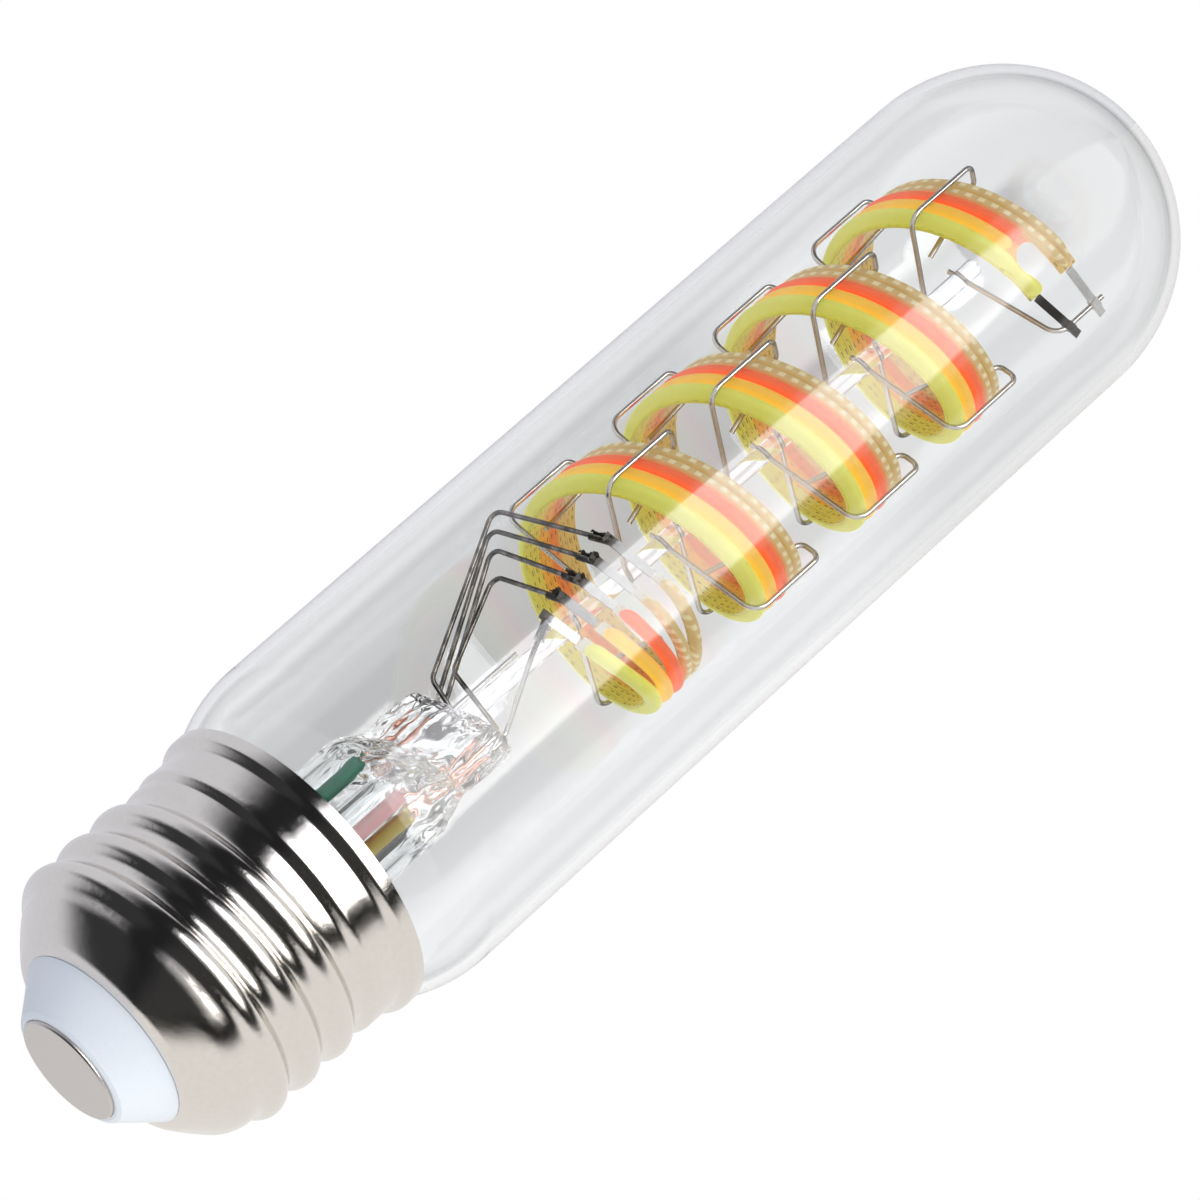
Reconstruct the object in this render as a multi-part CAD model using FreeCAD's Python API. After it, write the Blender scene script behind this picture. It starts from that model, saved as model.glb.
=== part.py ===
import FreeCAD, Part
import math
import os

from FreeCAD import Vector

# The object is a clear tubular lamp with a screw cap and a coiled ribbon of coloured light strands.
# The origin is the middle of the centre contact's outer face, and +Z runs up the axis to the tip.
# Angles round the axis are degrees from the front, -Y, towards +X, the way the coil and the thread climb.
# Lengths are in millimetres.

# Glass bulb
overall_length = 125.9
glass_diameter = 30.2
glass_wall = 0.9
tip_beyond_round = 0.5
shoulder_radius = 13.0
neck_fillet = 2.0
neck_overlap = 2.6

# Screw cap: a shell rolled from thin sheet
sheet = 0.3
shell_bottom = 3.95
shell_top = 25.3
thread_pitch = 25.4 / 7
thread_crest_diameter = 26.3
thread_depth = 0.9
thread_start_height = 6.88
thread_start_angle = 90.0
thread_turns = 3.8
thread_fade = 0.55
shell_columns = 36
dome_shoulder_height = 8.6
dome_shoulder_radius = 3.4
dome_heel_radius = 1.6
dome_heel_flat = 0.2
collar_diameter = 25.9
collar_step_height = 19.9
collar_step_rise = 1.0
lip_diameter = 27.4
lip_height = 0.95
lip_flare_rise = 1.0
lip_clearance = 0.16
cement_gap = 0.35
cement_height = 2.0
fit = 0.03

# Insulator and centre contact
contact_diameter = 9.6
contact_thickness = 0.55
contact_edge = 0.12
contact_rivet_diameter = 3.2
contact_rivet_height = 3.4
insulator_face_diameter = 10.9
insulator_face_height = 0.3
insulator_edge = 0.35
insulator_flange = 0.4
insulator_flange_height = 0.9

# Glass stem: a trumpet, a tube and a pinched press
stem_rim_height = 21.2
stem_tube_height = 29.5
stem_tube_diameter = 11.4
stem_wall = 0.9
pinch_start = 33.5
pinch_end = 39.0
press_top = 44.0
press_width = 11.9
press_thickness = 3.8
press_turn = 41.0
press_edge = 0.9
press_squareness = 3.0
cavity_top = 38.0
exhaust_diameter = 2.8
exhaust_wall = 0.5
exhaust_bottom = 20.5
exhaust_gap = 0.3
rod_diameter = 1.6
rod_above_end_wire = 2.3
rod_depth_in_press = 3.0

# Leads
lead_diameter = 0.42
lead_bend = 0.9
lead_depth_in_press = 1.5
lead_exit = 0.7
lead_stub = 8.2
seal_wire_diameter = 0.4
seal_wire_knee = 0.6
sleeve_diameter = 1.3
sleeve_circle = 3.35
sleeve_top = 34.4

# Each lead: its place along the press, its lower bends as angle, radius and rise above the press, its
# shoulder as angle, radius and rise above the crimp, and the crimp's angle. Below the press: its sleeve's
# name and angle, and its bends on the way there as angle, radius and drop under the cavity's roof.
leads = (
    {"name": "lime", "press": 4.6, "bends": (),
     "shoulder": (-1.8, 6.2, -2.0), "crimp": -10.0,
     "sleeve_name": "yellow", "sleeve": 50.0, "detour": ()},
    {"name": "amber", "press": 3.6, "bends": ((41.0, 2.2, 1.3), (-75.2, 3.52, 2.0)),
     "shoulder": (-81.9, 7.07, 0.4), "crimp": -11.0,
     "sleeve_name": "red", "sleeve": 20.0, "detour": ()},
    {"name": "red", "press": -2.7, "bends": (),
     "shoulder": (-88.0, 8.8, 0.0), "crimp": -12.0,
     "sleeve_name": "green", "sleeve": -55.0, "detour": ()},
    {"name": "cool_white", "press": -3.7, "bends": (),
     "shoulder": (-95.1, 10.14, -0.6), "crimp": -15.0,
     "sleeve_name": "white", "sleeve": -120.0, "detour": ()},
    {"name": "warm_white", "press": -1.75, "bends": ((-108.9, 4.33, 1.2),),
     "shoulder": (-92.1, 11.1, -1.7), "crimp": -18.0,
     "sleeve_name": "black", "sleeve": 85.0, "detour": ((165.0, 2.6, 1.8),)},
)

# Ribbon: one flexible strip with five rows of coated light strands
strip_inner_radius = 8.45
strip_wall = 0.2
strip_margin = 0.08
coil_above_press = 12.1
coil_below_tip = 18.2
coil_lean = 0.71
coil_lean_angle = 51.8
tongue_start = 10.0
tongue_splay = 79.0
tongue_slit = 0.2
tongue_first_drop = 3.6
tongue_spacing = 2.2
slot_angle = 1456.0
ribbon_end = 1477.0
bead_end_arc = 5.0
bead_end_size = 0.08
bead_gap = 0.04
coating_gap = 0.01

# Name, pitch, height, first angle, last angle and squareness of each row, from the cap side to the tip side
rows = (
    ("lime", 1.45, 1.15, 14.0, 1475.0, 2.0),
    ("amber", 1.30, 1.12, 14.0, 1445.0, 2.0),
    ("red", 1.20, 1.10, 12.0, 1445.0, 2.0),
    ("cool_white", 0.94, 0.85, 16.0, 1474.0, 3.2),
    ("warm_white", 0.94, 0.85, 14.0, 1474.0, 3.2),
)

# Tabs and the common wire at the ribbon's end. The rises are above the ribbon's middle line at its end.
tab_width = 0.75
tab_thickness = 0.15
tab_gap = 0.18
crimp_length = 2.1
crimp_width = 0.85
crimp_depth = 0.7
crimp_drop = 0.9
crimp_radius = 9.0
end_wire_angle = 62.0
end_wire_drop = 2.5
end_wire_slant = 0.7
end_wire_reach = 10.0
end_wire_rise = 3.9
end_tab_rises = (-0.4, 2.9)
end_tab_tail = 0.9

# Hooks that hold the ribbon: angle, distance off the beads and drop of the free end
hook_diameter = 0.45
hook_gap = 0.1
hook_near_gap = 0.3
hook_far_gap = 1.0
hook_stub = 0.5
hook_bend = 0.7
hook_end_gap = 1.4
hook_turns = 4
hook_places = ((137.0, 0.0, 2.0), (252.0, 0.75, 0.6), (321.0, 0.0, 3.4), (425.0, 0.0, 0.3))

# Driver in the cap
board_diameter = 23.4
board_thickness = 1.0
board_below_neck = 4.15
capacitor_diameter = 6.3
capacitor_length = 9.0
capacitor_place = (6.0, 2.5)
choke_diameter = 6.0
choke_length = 7.5
choke_place = (-5.8, 3.0)
rectifier_size = (4.7, 3.9, 2.3)
rectifier_place = (0.0, -6.5)
chip_size = (5.0, 4.0, 1.4)
chip_place = (-6.2, 4.6)
fuse_diameter = 2.6
fuse_length = 6.2
fuse_drop = 1.2
shell_lead_inset = 1.6
shell_lead_rise = 1.2
shell_lead_slant = 0.5
hook_up_wire_diameter = 0.6


def around(angle, radius, height):
    """A point at an angle from the front, a radius from the axis and a height."""
    turn = math.radians(angle)
    return Vector(radius * math.sin(turn), -radius * math.cos(turn), height)


def smooth(share):
    """A step from 0 to 1 with level ends."""
    share = min(max(share, 0.0), 1.0)
    return share * share * (3 - 2 * share)


def spline_through(points, stations=None, closed=False):
    """A cubic curve through the points, at the given parameters or one apart."""
    if stations is None:
        stations = range(len(points) + 1 if closed else len(points))
    curve = Part.BSplineCurve()
    curve.interpolate(Points=points, PeriodicFlag=closed, Parameters=[float(value) for value in stations])
    return curve


def skin(lines, stations=None, closed=False, levels=None):
    """A face through lines of points. Skins that share a line share that edge exactly."""
    lengthwise = [spline_through(line, stations, closed) for line in lines]
    rows_of_poles = zip(*[curve.getPoles() for curve in lengthwise])
    crosswise = [spline_through(list(poles), levels) for poles in rows_of_poles]
    along = lengthwise[0]
    across = crosswise[0]
    surface = Part.BSplineSurface()
    surface.buildFromPolesMultsKnots(
        [curve.getPoles() for curve in crosswise],
        along.getMultiplicities(), across.getMultiplicities(),
        along.getKnots(), across.getKnots(),
        closed, False, along.Degree, across.Degree)
    return surface.toShape()


def solid_from(faces):
    """One solid from faces that meet edge to edge."""
    shell = Part.makeShell(faces)
    shell.sewShape()
    solid = Part.Solid(shell)
    if solid.Volume < 0:
        solid.reverse()
    return solid


def revolved(edges):
    """A closed outline in the XZ plane turned round the axis."""
    return Part.Face(Part.Wire(edges)).revolve(Vector(), Vector(0, 0, 1), 360)


def revolved_outline(points):
    """Straight outline given as radius and height pairs, turned round the axis."""
    corners = [Vector(radius, 0, height) for radius, height in points]
    return Part.Face(Part.makePolygon(corners + corners[:1])).revolve(Vector(), Vector(0, 0, 1), 360)


def quarter_ellipse(height, across, rise):
    """From the axis at height plus rise down to the smaller radius across at height."""
    ellipse = Part.Ellipse(Vector(0, 0, height + rise), Vector(across, 0, height), Vector(0, 0, height))
    return Part.Arc(ellipse, 0, math.pi / 2).toShape()


def rod_between(start, end, diameter):
    """A straight round bar."""
    run = end - start
    return Part.makeCylinder(diameter / 2, run.Length, start, run)


def bent_wire(points, diameter, bends):
    """A round wire along straight runs, with one bend radius for each corner."""
    edges = []
    start = points[0]
    for before, corner, after, bend in zip(points, points[1:], points[2:], bends):
        back = (before - corner).normalize()
        ahead = (after - corner).normalize()
        half = back.getAngle(ahead) / 2
        first = corner + back * (bend / math.tan(half))
        last = corner + ahead * (bend / math.tan(half))
        inward = (back + ahead).normalize()
        middle = corner + inward * (bend / math.sin(half) - bend)
        edges.append(Part.makeLine(start, first))
        edges.append(Part.Arc(first, middle, last).toShape())
        start = last
    edges.append(Part.makeLine(start, points[-1]))
    section = Part.Wire(Part.makeCircle(diameter / 2, points[0], points[1] - points[0]))
    return Part.Wire(edges).makePipeShell([section], True, False)


def bar_between(start, end, width, thickness, outward):
    """A flat bar, its broad face turned outward."""
    run = end - start
    along = Vector(run).normalize()
    side = along.cross(outward).normalize()
    face = side.cross(along).normalize()
    across = side * width
    through = face * thickness
    corner = start - across / 2 - through / 2
    outline = [corner, corner + across, corner + across + through, corner + through]
    return Part.Face(Part.makePolygon(outline + outline[:1])).extrude(run)


# Sizes that several pieces share
coil_height = press_top + coil_above_press
tongue_first_level = coil_height - tongue_first_drop
ribbon_end_height = overall_length - coil_below_tip
lean_at_end = coil_lean * math.cos(math.radians(ribbon_end - coil_lean_angle))
coil_pitch = (ribbon_end_height - coil_height - lean_at_end) * 360 / ribbon_end
end_wire_height = ribbon_end_height - end_wire_drop
rod_top = end_wire_height + rod_above_end_wire
glass_radius = glass_diameter / 2
tip_rise = glass_radius + tip_beyond_round
shoulder_centre = glass_radius - shoulder_radius
shoulder_at_lip = lip_diameter / 2 - sheet - lip_clearance - shoulder_centre
shoulder_top = shell_top + math.sqrt(shoulder_radius ** 2 - shoulder_at_lip ** 2)
thread_root_radius = thread_crest_diameter / 2 - thread_depth
collar_radius = collar_diameter / 2
neck_radius = collar_radius - sheet - cement_gap
fillet_centre = neck_radius + neck_fillet
fillet_drop = math.sqrt((shoulder_radius + neck_fillet) ** 2 - (fillet_centre - shoulder_centre) ** 2)
neck_top = shoulder_top - fillet_drop
collar_top = shell_top - lip_height - lip_flare_rise
neck_bottom = collar_top - neck_overlap
board_height = neck_bottom - board_below_neck
strip_radius = strip_inner_radius + strip_wall
ribbon_width = sum(row[1] for row in rows) + 2 * strip_margin
bead_top_radius = strip_radius + max(row[2] for row in rows)


# Glass bulb

def make_glass_envelope():
    """A blown tube with a domed tip, a rounded shoulder and a neck that goes into the cap."""
    def side(inset):
        radius = glass_radius - inset
        neck = neck_radius - inset
        shoulder = Vector(shoulder_centre, 0, shoulder_top)
        fillet = Vector(fillet_centre, 0, neck_top)
        toward = (fillet - shoulder).normalize()
        tangent = shoulder + toward * (shoulder_radius - inset)
        half = Vector(1, 0, 0) + toward
        over = shoulder + half.normalize() * (shoulder_radius - inset)
        bend = Vector(-1, 0, 0) - toward
        under = fillet + bend.normalize() * (neck_fillet + inset)
        dome = overall_length - tip_rise
        return [
            quarter_ellipse(dome, radius, tip_rise - inset),
            Part.makeLine(Vector(radius, 0, dome), Vector(radius, 0, shoulder_top)),
            Part.Arc(Vector(radius, 0, shoulder_top), over, tangent).toShape(),
            Part.Arc(tangent, under, Vector(neck, 0, neck_top)).toShape(),
            Part.makeLine(Vector(neck, 0, neck_top), Vector(neck, 0, neck_bottom)),
        ]
    joins = [
        Part.makeLine(Vector(0, 0, overall_length), Vector(0, 0, overall_length - glass_wall)),
        Part.makeLine(Vector(neck_radius, 0, neck_bottom), Vector(neck_radius - glass_wall, 0, neck_bottom)),
    ]
    outline = Part.__sortEdges__(side(0) + side(glass_wall) + joins)
    return revolved(outline)


# Screw cap

def thread_rise(angle, height):
    """Height of the rolled thread above its root: two equal arcs for each half pitch."""
    flank = 2 * math.atan(2 * thread_depth / thread_pitch)
    arc = thread_pitch / (4 * math.sin(flank))
    share = (angle - thread_start_angle) / 360
    climbed = (height - thread_start_height) / thread_pitch
    run = share + round(climbed - share)
    offset = abs(climbed - run) * thread_pitch
    if offset < thread_pitch / 4:
        rise = thread_depth - (arc - math.sqrt(arc ** 2 - offset ** 2))
    else:
        rise = arc - math.sqrt(arc ** 2 - (thread_pitch / 2 - offset) ** 2)
    return rise * smooth(run / thread_fade) * smooth((thread_turns - run) / thread_fade)


def shell_profile():
    """Radius and height along the shell without its thread, from the hole in the dome to the lip."""
    slope = math.pi / 4
    shoulder_x = thread_root_radius - dome_shoulder_radius
    heel_z = shell_bottom + dome_heel_radius
    cone_x = shoulder_x + dome_shoulder_radius * math.cos(slope)
    cone_z = dome_shoulder_height - dome_shoulder_radius * math.sin(slope)
    heel_x = cone_x - dome_heel_radius / math.cos(slope) - (cone_z - heel_z)
    profile = [(heel_x - dome_heel_flat, shell_bottom)]
    for step in range(5):
        turn = slope * step / 4
        profile.append((heel_x + dome_heel_radius * math.sin(turn), heel_z - dome_heel_radius * math.cos(turn)))
    for step in range(4):
        turn = slope * (1 - step / 4)
        profile.append((shoulder_x + dome_shoulder_radius * math.cos(turn),
                        dome_shoulder_height - dome_shoulder_radius * math.sin(turn)))
    steps = round((collar_top - dome_shoulder_height) / 0.28)
    for step in range(steps + 1):
        height = dome_shoulder_height + (collar_top - dome_shoulder_height) * step / steps
        rise = smooth((height - collar_step_height) / collar_step_rise)
        profile.append((thread_root_radius + (collar_radius - thread_root_radius) * rise, height))
    for step in range(1, 7):
        rise = smooth(step / 6)
        profile.append((collar_radius + (lip_diameter / 2 - collar_radius) * rise,
                        collar_top + lip_flare_rise * step / 6))
    for step in range(1, 4):
        profile.append((lip_diameter / 2, shell_top - lip_height * (1 - step / 3)))
    return profile


def make_screw_shell():
    """Thin sheet with a rolled screw thread that fades in from the dome and out below the collar."""
    profile = shell_profile()
    levels = [0.0]
    for (radius, height), (next_radius, next_height) in zip(profile, profile[1:]):
        levels.append(levels[-1] + math.hypot(next_radius - radius, next_height - height))
    outer = [[] for level in profile]
    inner = [[] for level in profile]
    for step in range(shell_columns):
        angle = 360 * step / shell_columns
        wall = [(radius + thread_rise(angle, height), height) for radius, height in profile]
        for index, (radius, height) in enumerate(wall):
            before = wall[max(index - 1, 0)]
            after = wall[min(index + 1, len(wall) - 1)]
            run = math.hypot(after[0] - before[0], after[1] - before[1])
            inset = -sheet * (after[1] - before[1]) / run
            lift = sheet * (after[0] - before[0]) / run
            outer[index].append(around(angle, radius, height))
            inner[index].append(around(angle, radius + inset, height + lift))
    return solid_from([
        skin(outer, closed=True, levels=levels),
        skin(inner, closed=True, levels=levels),
        skin([outer[0], inner[0]], closed=True),
        skin([outer[-1], inner[-1]], closed=True),
    ])


def make_basing_cement():
    """The ring of cement between the glass neck and the collar."""
    top = neck_top - fit
    bottom = top - cement_height
    return revolved_outline([
        (neck_radius + fit, bottom), (collar_radius - sheet - fit, bottom),
        (collar_radius - sheet - fit, top), (neck_radius + fit, top)])


def make_insulator():
    """The cone between contact and shell, with a flange held inside the dome."""
    hole = shell_profile()[0][0]
    face = insulator_face_diameter / 2
    neck_top = shell_bottom + sheet + fit
    flange_top = neck_top + insulator_flange_height
    recess = contact_thickness + fit
    bore = contact_rivet_diameter / 2 + fit
    return revolved_outline([
        (contact_diameter / 2 + fit, insulator_face_height), (face - insulator_edge, insulator_face_height),
        (face, insulator_face_height + insulator_edge / 2), (hole, shell_bottom - fit),
        (hole - fit, shell_bottom - fit), (hole - fit, neck_top), (hole + insulator_flange, neck_top),
        (hole + insulator_flange, flange_top), (bore, flange_top), (bore, recess),
        (contact_diameter / 2 + fit, recess)])


def make_centre_contact():
    """A flat disc with a hollow rivet through the insulator."""
    rim = contact_diameter / 2
    rivet = contact_rivet_diameter / 2
    bore = hook_up_wire_diameter / 2 + fit
    return revolved_outline([
        (0, 0), (rim - contact_edge, 0), (rim, contact_edge), (rim, contact_thickness),
        (rivet, contact_thickness), (rivet, contact_rivet_height), (bore, contact_rivet_height),
        (bore, contact_thickness), (0, contact_thickness)])


# Glass stem

def along_press(offset, height, aside=0.0):
    """A point on the press: an offset along its width, a height and an offset through its thickness."""
    return around(press_turn, offset, height) + around(press_turn + 90, aside, 0)


def stem_ring(half_width, half_thickness, squareness, height):
    """A rounded oblong ring of points, its width along the press."""
    ring = []
    for step in range(32):
        turn = math.radians(360 * step / 32)
        cosine = math.cos(turn)
        sine = math.sin(turn)
        offset = half_width * math.copysign(abs(cosine) ** (2 / squareness), cosine)
        aside = half_thickness * math.copysign(abs(sine) ** (2 / squareness), sine)
        ring.append(along_press(offset, height, aside))
    return ring


def stem_wall_rings(inset, top):
    """Rings up the stem, from the trumpet's rim through the tube to the pinched press."""
    rim = neck_radius - glass_wall - fit
    tube = stem_tube_diameter / 2
    flare_rise = stem_tube_height - stem_rim_height
    rings = []
    for step in range(8):
        turn = math.pi / 2 * (1 - step / 7)
        radius = rim - (rim - tube) * math.cos(turn)
        height = stem_tube_height - flare_rise * math.sin(turn)
        rings.append(stem_ring(radius - inset, radius - inset, 2, height + inset * math.sin(turn)))
    count = round(top - stem_tube_height)
    for step in range(1, count + 1):
        height = stem_tube_height + (top - stem_tube_height) * step / count
        pinch = smooth((height - pinch_start) / (pinch_end - pinch_start))
        half_width = tube + (press_width / 2 - tube) * pinch - inset
        half_thickness = tube + (press_thickness / 2 - tube) * pinch - inset
        rings.append(stem_ring(half_width, half_thickness, 2 + (press_squareness - 2) * pinch, height))
    return rings


def make_glass_stem():
    """The trumpet and press in one piece of glass, with the seal wires' and rod's holes through it."""
    outer = stem_wall_rings(0, press_top - press_edge)
    half_width = press_width / 2
    half_thickness = press_thickness / 2
    for share in (0.35, 0.65, 0.88, 1.0):
        drop = press_edge * (1 - math.sqrt(1 - share ** 2))
        outer.append(stem_ring(half_width - drop, half_thickness - drop, press_squareness,
                               press_top - press_edge * (1 - share)))
    inner = stem_wall_rings(stem_wall, cavity_top)
    top = Part.Face(Part.Wire(spline_through(outer[-1], closed=True).toShape()))
    roof = Part.Face(Part.Wire(spline_through(inner[-1], closed=True).toShape()))
    stem = solid_from([
        skin(outer, closed=True), top,
        skin(inner, closed=True), roof,
        skin([outer[0], inner[0]], closed=True)])
    bores = [make_rod_blank()]
    for lead in leads:
        bores.append(rod_between(along_press(lead["press"], cavity_top - 1),
                                 along_press(lead["press"], press_top + 1), lead_diameter))
    return stem.cut(bores)


def make_rod_blank():
    """The glass rod before the hooks are set in it."""
    return rod_between(Vector(0, 0, press_top - rod_depth_in_press), Vector(0, 0, rod_top), rod_diameter)


def make_support_rod(wires):
    """The glass rod, closed round every wire that is set in it."""
    return make_rod_blank().cut(wires)


def make_exhaust_tube():
    """The tube that the bulb was pumped through, melted shut at its lower end."""
    radius = exhaust_diameter / 2
    bore = radius - exhaust_wall
    top = cavity_top - exhaust_gap
    tip = exhaust_bottom + radius

    def round_end(size):
        middle = size * math.sqrt(0.5)
        return Part.Arc(Vector(size, 0, tip), Vector(middle, 0, tip - middle), Vector(0, 0, tip - size)).toShape()
    return revolved([
        Part.makeLine(Vector(bore, 0, top), Vector(radius, 0, top)),
        Part.makeLine(Vector(radius, 0, top), Vector(radius, 0, tip)),
        round_end(radius),
        Part.makeLine(Vector(0, 0, tip - radius), Vector(0, 0, tip - bore)),
        round_end(bore),
        Part.makeLine(Vector(bore, 0, tip), Vector(bore, 0, top)),
    ])


# Leads

def ribbon_height(angle):
    """Height of the ribbon's middle line."""
    return coil_height + coil_pitch * angle / 360 + coil_lean * math.cos(math.radians(angle - coil_lean_angle))


def row_offset(index):
    """How far the middle of a row lies above the ribbon's middle line."""
    below = sum(row[1] for row in rows[:index])
    return strip_margin + below + rows[index][1] / 2 - ribbon_width / 2


def white_offset():
    """How far the line between the two white rows lies above the ribbon's middle line."""
    return (row_offset(len(rows) - 2) + row_offset(len(rows) - 1)) / 2


def row_height(index, angle):
    """Height of a row's middle: the five tongues splay at the start, to reach their tabs."""
    settled = ribbon_height(angle) + row_offset(index)
    start = ribbon_height(tongue_start) + row_offset(index)
    splay = tongue_first_level + tongue_spacing * index - start
    return settled + splay * (1 - smooth((angle - tongue_start) / tongue_splay))


def crimp_height(index):
    """Height of a lead's end in its crimp."""
    return tongue_first_level + tongue_spacing * index - crimp_drop


def lead_corners(index, lead):
    """The corners of a lead between the press and its crimp."""
    corners = [around(angle, radius, press_top + rise) for angle, radius, rise in lead["bends"]]
    angle, radius, rise = lead["shoulder"]
    return corners + [around(angle, radius, crimp_height(index) + rise)]


def crimp_ends(index, lead):
    """Where a lead's end goes into and out of its crimp."""
    far = around(lead["crimp"], crimp_radius, crimp_height(index))
    back = (lead_corners(index, lead)[-1] - far).normalize()
    return far + back * crimp_length, far


def make_lead(index, lead):
    """The bare inner lead, from the press to its crimp."""
    foot = along_press(lead["press"], press_top - lead_depth_in_press)
    out = along_press(lead["press"], press_top + lead_exit)
    entry, end = crimp_ends(index, lead)
    corners = lead_corners(index, lead)
    bends = [lead_bend * 0.5] + [lead_bend] * len(corners)
    return bent_wire([foot, out] + corners + [end], lead_diameter, bends)


def make_stub(lead):
    """The straight end that one lead leaves standing beside the rod, where it is welded on."""
    return rod_between(along_press(lead["press"], press_top - lead_depth_in_press),
                       along_press(lead["press"], press_top + lead_stub), lead_diameter)


def make_seal_wire(lead):
    """The copper-clad wire through the press, which the lead and the sleeved wire are joined to."""
    top = along_press(lead["press"], press_top - lead_depth_in_press)
    knee = along_press(lead["press"], cavity_top - seal_wire_knee)
    detour = [around(angle, radius, cavity_top - drop) for angle, radius, drop in lead["detour"]]
    bottom = around(lead["sleeve"], sleeve_circle, sleeve_top)
    foot = bottom + Vector(0, 0, 2 * seal_wire_diameter)
    return bent_wire([top, knee] + detour + [foot, bottom], seal_wire_diameter,
                     [lead_bend] * (1 + len(detour)) + [lead_bend * 0.5])


def make_sleeve(lead):
    """The coloured wire that comes up from the driver board."""
    bottom = board_height + board_thickness + fit
    return rod_between(around(lead["sleeve"], sleeve_circle, bottom),
                       around(lead["sleeve"], sleeve_circle, sleeve_top - fit), sleeve_diameter)


def make_start_tab(index, lead, wire):
    """A sheet tab: crimped round the lead's end, and flat as far as its tongue of the strip."""
    entry, end = crimp_ends(index, lead)
    outward = around((lead["crimp"] + tongue_start) / 2, 1, 0)
    crimp = bar_between(entry, end, crimp_width, crimp_depth, outward)
    tongue = around(tongue_start, strip_radius - strip_wall / 2, row_height(index, tongue_start))
    reach = (tongue - end).normalize()
    blade = bar_between(end - reach * crimp_depth, tongue - reach * tab_gap, tab_width, tab_thickness, outward)
    return crimp.fuse(blade).cut(wire)


# Ribbon

def stations_between(first, last):
    """Angles along the ribbon, about 15 degrees apart."""
    count = max(round((last - first) / 15), 3)
    return [first + (last - first) * step / count for step in range(count + 1)]


def strip_between(first, last, centre, width):
    """A length of flexible strip, its middle height given by a function of the angle."""
    stations = stations_between(first, last)
    corners = ((strip_inner_radius, -width / 2), (strip_radius, -width / 2),
               (strip_radius, width / 2), (strip_inner_radius, width / 2))
    lines = [[around(angle, radius, centre(angle) + aside) for angle in stations] for radius, aside in corners]
    lines.append(lines[0])
    sides = [skin([lines[side], lines[side + 1]], stations) for side in range(4)]
    caps = [Part.Face(Part.makePolygon([line[end] for line in lines])) for end in (0, -1)]
    return solid_from(sides + caps)


def make_filament_strip():
    """The flexible strip: five splayed tongues at the start, and two beside a round-ended slot at the end."""
    whole = strip_between(tongue_start + tongue_splay, slot_angle, ribbon_height, ribbon_width)
    pieces = []
    for index, row in enumerate(rows):
        pieces.append(strip_between(tongue_start, tongue_start + tongue_splay,
                                    lambda angle, index=index: row_height(index, angle), row[1] - tongue_slit))
    white_width = rows[-2][1] + rows[-1][1]
    pieces.append(strip_between(slot_angle, ribbon_end,
                                lambda angle: ribbon_height(angle) + row_offset(0), rows[0][1]))
    pieces.append(strip_between(slot_angle, ribbon_end,
                                lambda angle: ribbon_height(angle) + white_offset(), white_width))
    strip = whole.fuse(pieces)
    slot_middle = ribbon_height(slot_angle) + (row_offset(1) + row_offset(2)) / 2
    slot_radius = (rows[1][1] + rows[2][1]) / 2
    notch = rod_between(around(slot_angle, strip_inner_radius - 1, slot_middle),
                        around(slot_angle, strip_radius + 1, slot_middle), 2 * slot_radius)
    return strip.cut(notch)


def make_bead(index, pitch, height, first, last, squareness):
    """A bead of coating over one row of chips, half-round or flatter on top, with rounded ends."""
    half_width = (pitch - bead_gap) / 2
    base = strip_radius + coating_gap

    def section(angle):
        inside = min((angle - first) / bead_end_arc, (last - angle) / bead_end_arc, 1)
        size = math.sqrt(1 - (1 - bead_end_size) * (1 - inside) ** 2)
        points = []
        for step in range(9):
            turn = math.pi * step / 8
            across = math.copysign(abs(math.cos(turn)) ** (2 / squareness), -math.cos(turn))
            rise = height * size * abs(math.sin(turn)) ** (2 / squareness)
            points.append(around(angle, base + rise, row_height(index, angle) + half_width * size * across))
        return points
    opening = [first + bead_end_arc * share for share in (0, 0.08, 0.3, 0.6, 1)]
    middle = stations_between(first + bead_end_arc, last - bead_end_arc)
    closing = [last - bead_end_arc * share for share in (1, 0.6, 0.3, 0.08, 0)]
    faces = []
    for stations in (opening, middle, closing):
        lines = list(zip(*[section(angle) for angle in stations]))
        lines = [list(line) for line in lines]
        faces += [skin(lines, stations), skin([lines[0], lines[-1]], stations)]
    for end in (section(first), section(last)):
        arch = spline_through(end).toShape()
        faces.append(Part.Face(Part.Wire([arch, Part.makeLine(end[-1], end[0])])))
    return solid_from(faces)


# Hooks and the common wire at the ribbon's end

def hook_points(angle, stand_off, drop):
    """Corners of one hook, from its stub through the rod, over the beads and back inside the ribbon."""
    inner = strip_inner_radius - hook_gap - hook_diameter / 2
    outer = bead_top_radius + hook_gap + hook_diameter / 2 + stand_off
    edge = ribbon_height(angle)
    low = edge - ribbon_width / 2 - hook_near_gap - hook_diameter / 2
    high = edge + ribbon_width / 2 + hook_far_gap + hook_diameter / 2
    return [
        around(angle, -rod_diameter / 2 - hook_stub, low),
        around(angle, outer, low),
        around(angle, outer, high),
        around(angle, inner, high),
        around(angle, inner - drop, low + hook_end_gap)]


def make_hooks():
    """The hooks of each turn."""
    turns = []
    for turn in range(hook_turns):
        hooks = []
        for place, stand_off, drop in hook_places:
            angle = place + 360 * turn
            if angle < slot_angle:
                points = hook_points(angle, stand_off, drop)
                hooks.append(bent_wire(points, hook_diameter, [2 * hook_bend, hook_bend, hook_bend]))
        turns.append(hooks)
    return turns


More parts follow.
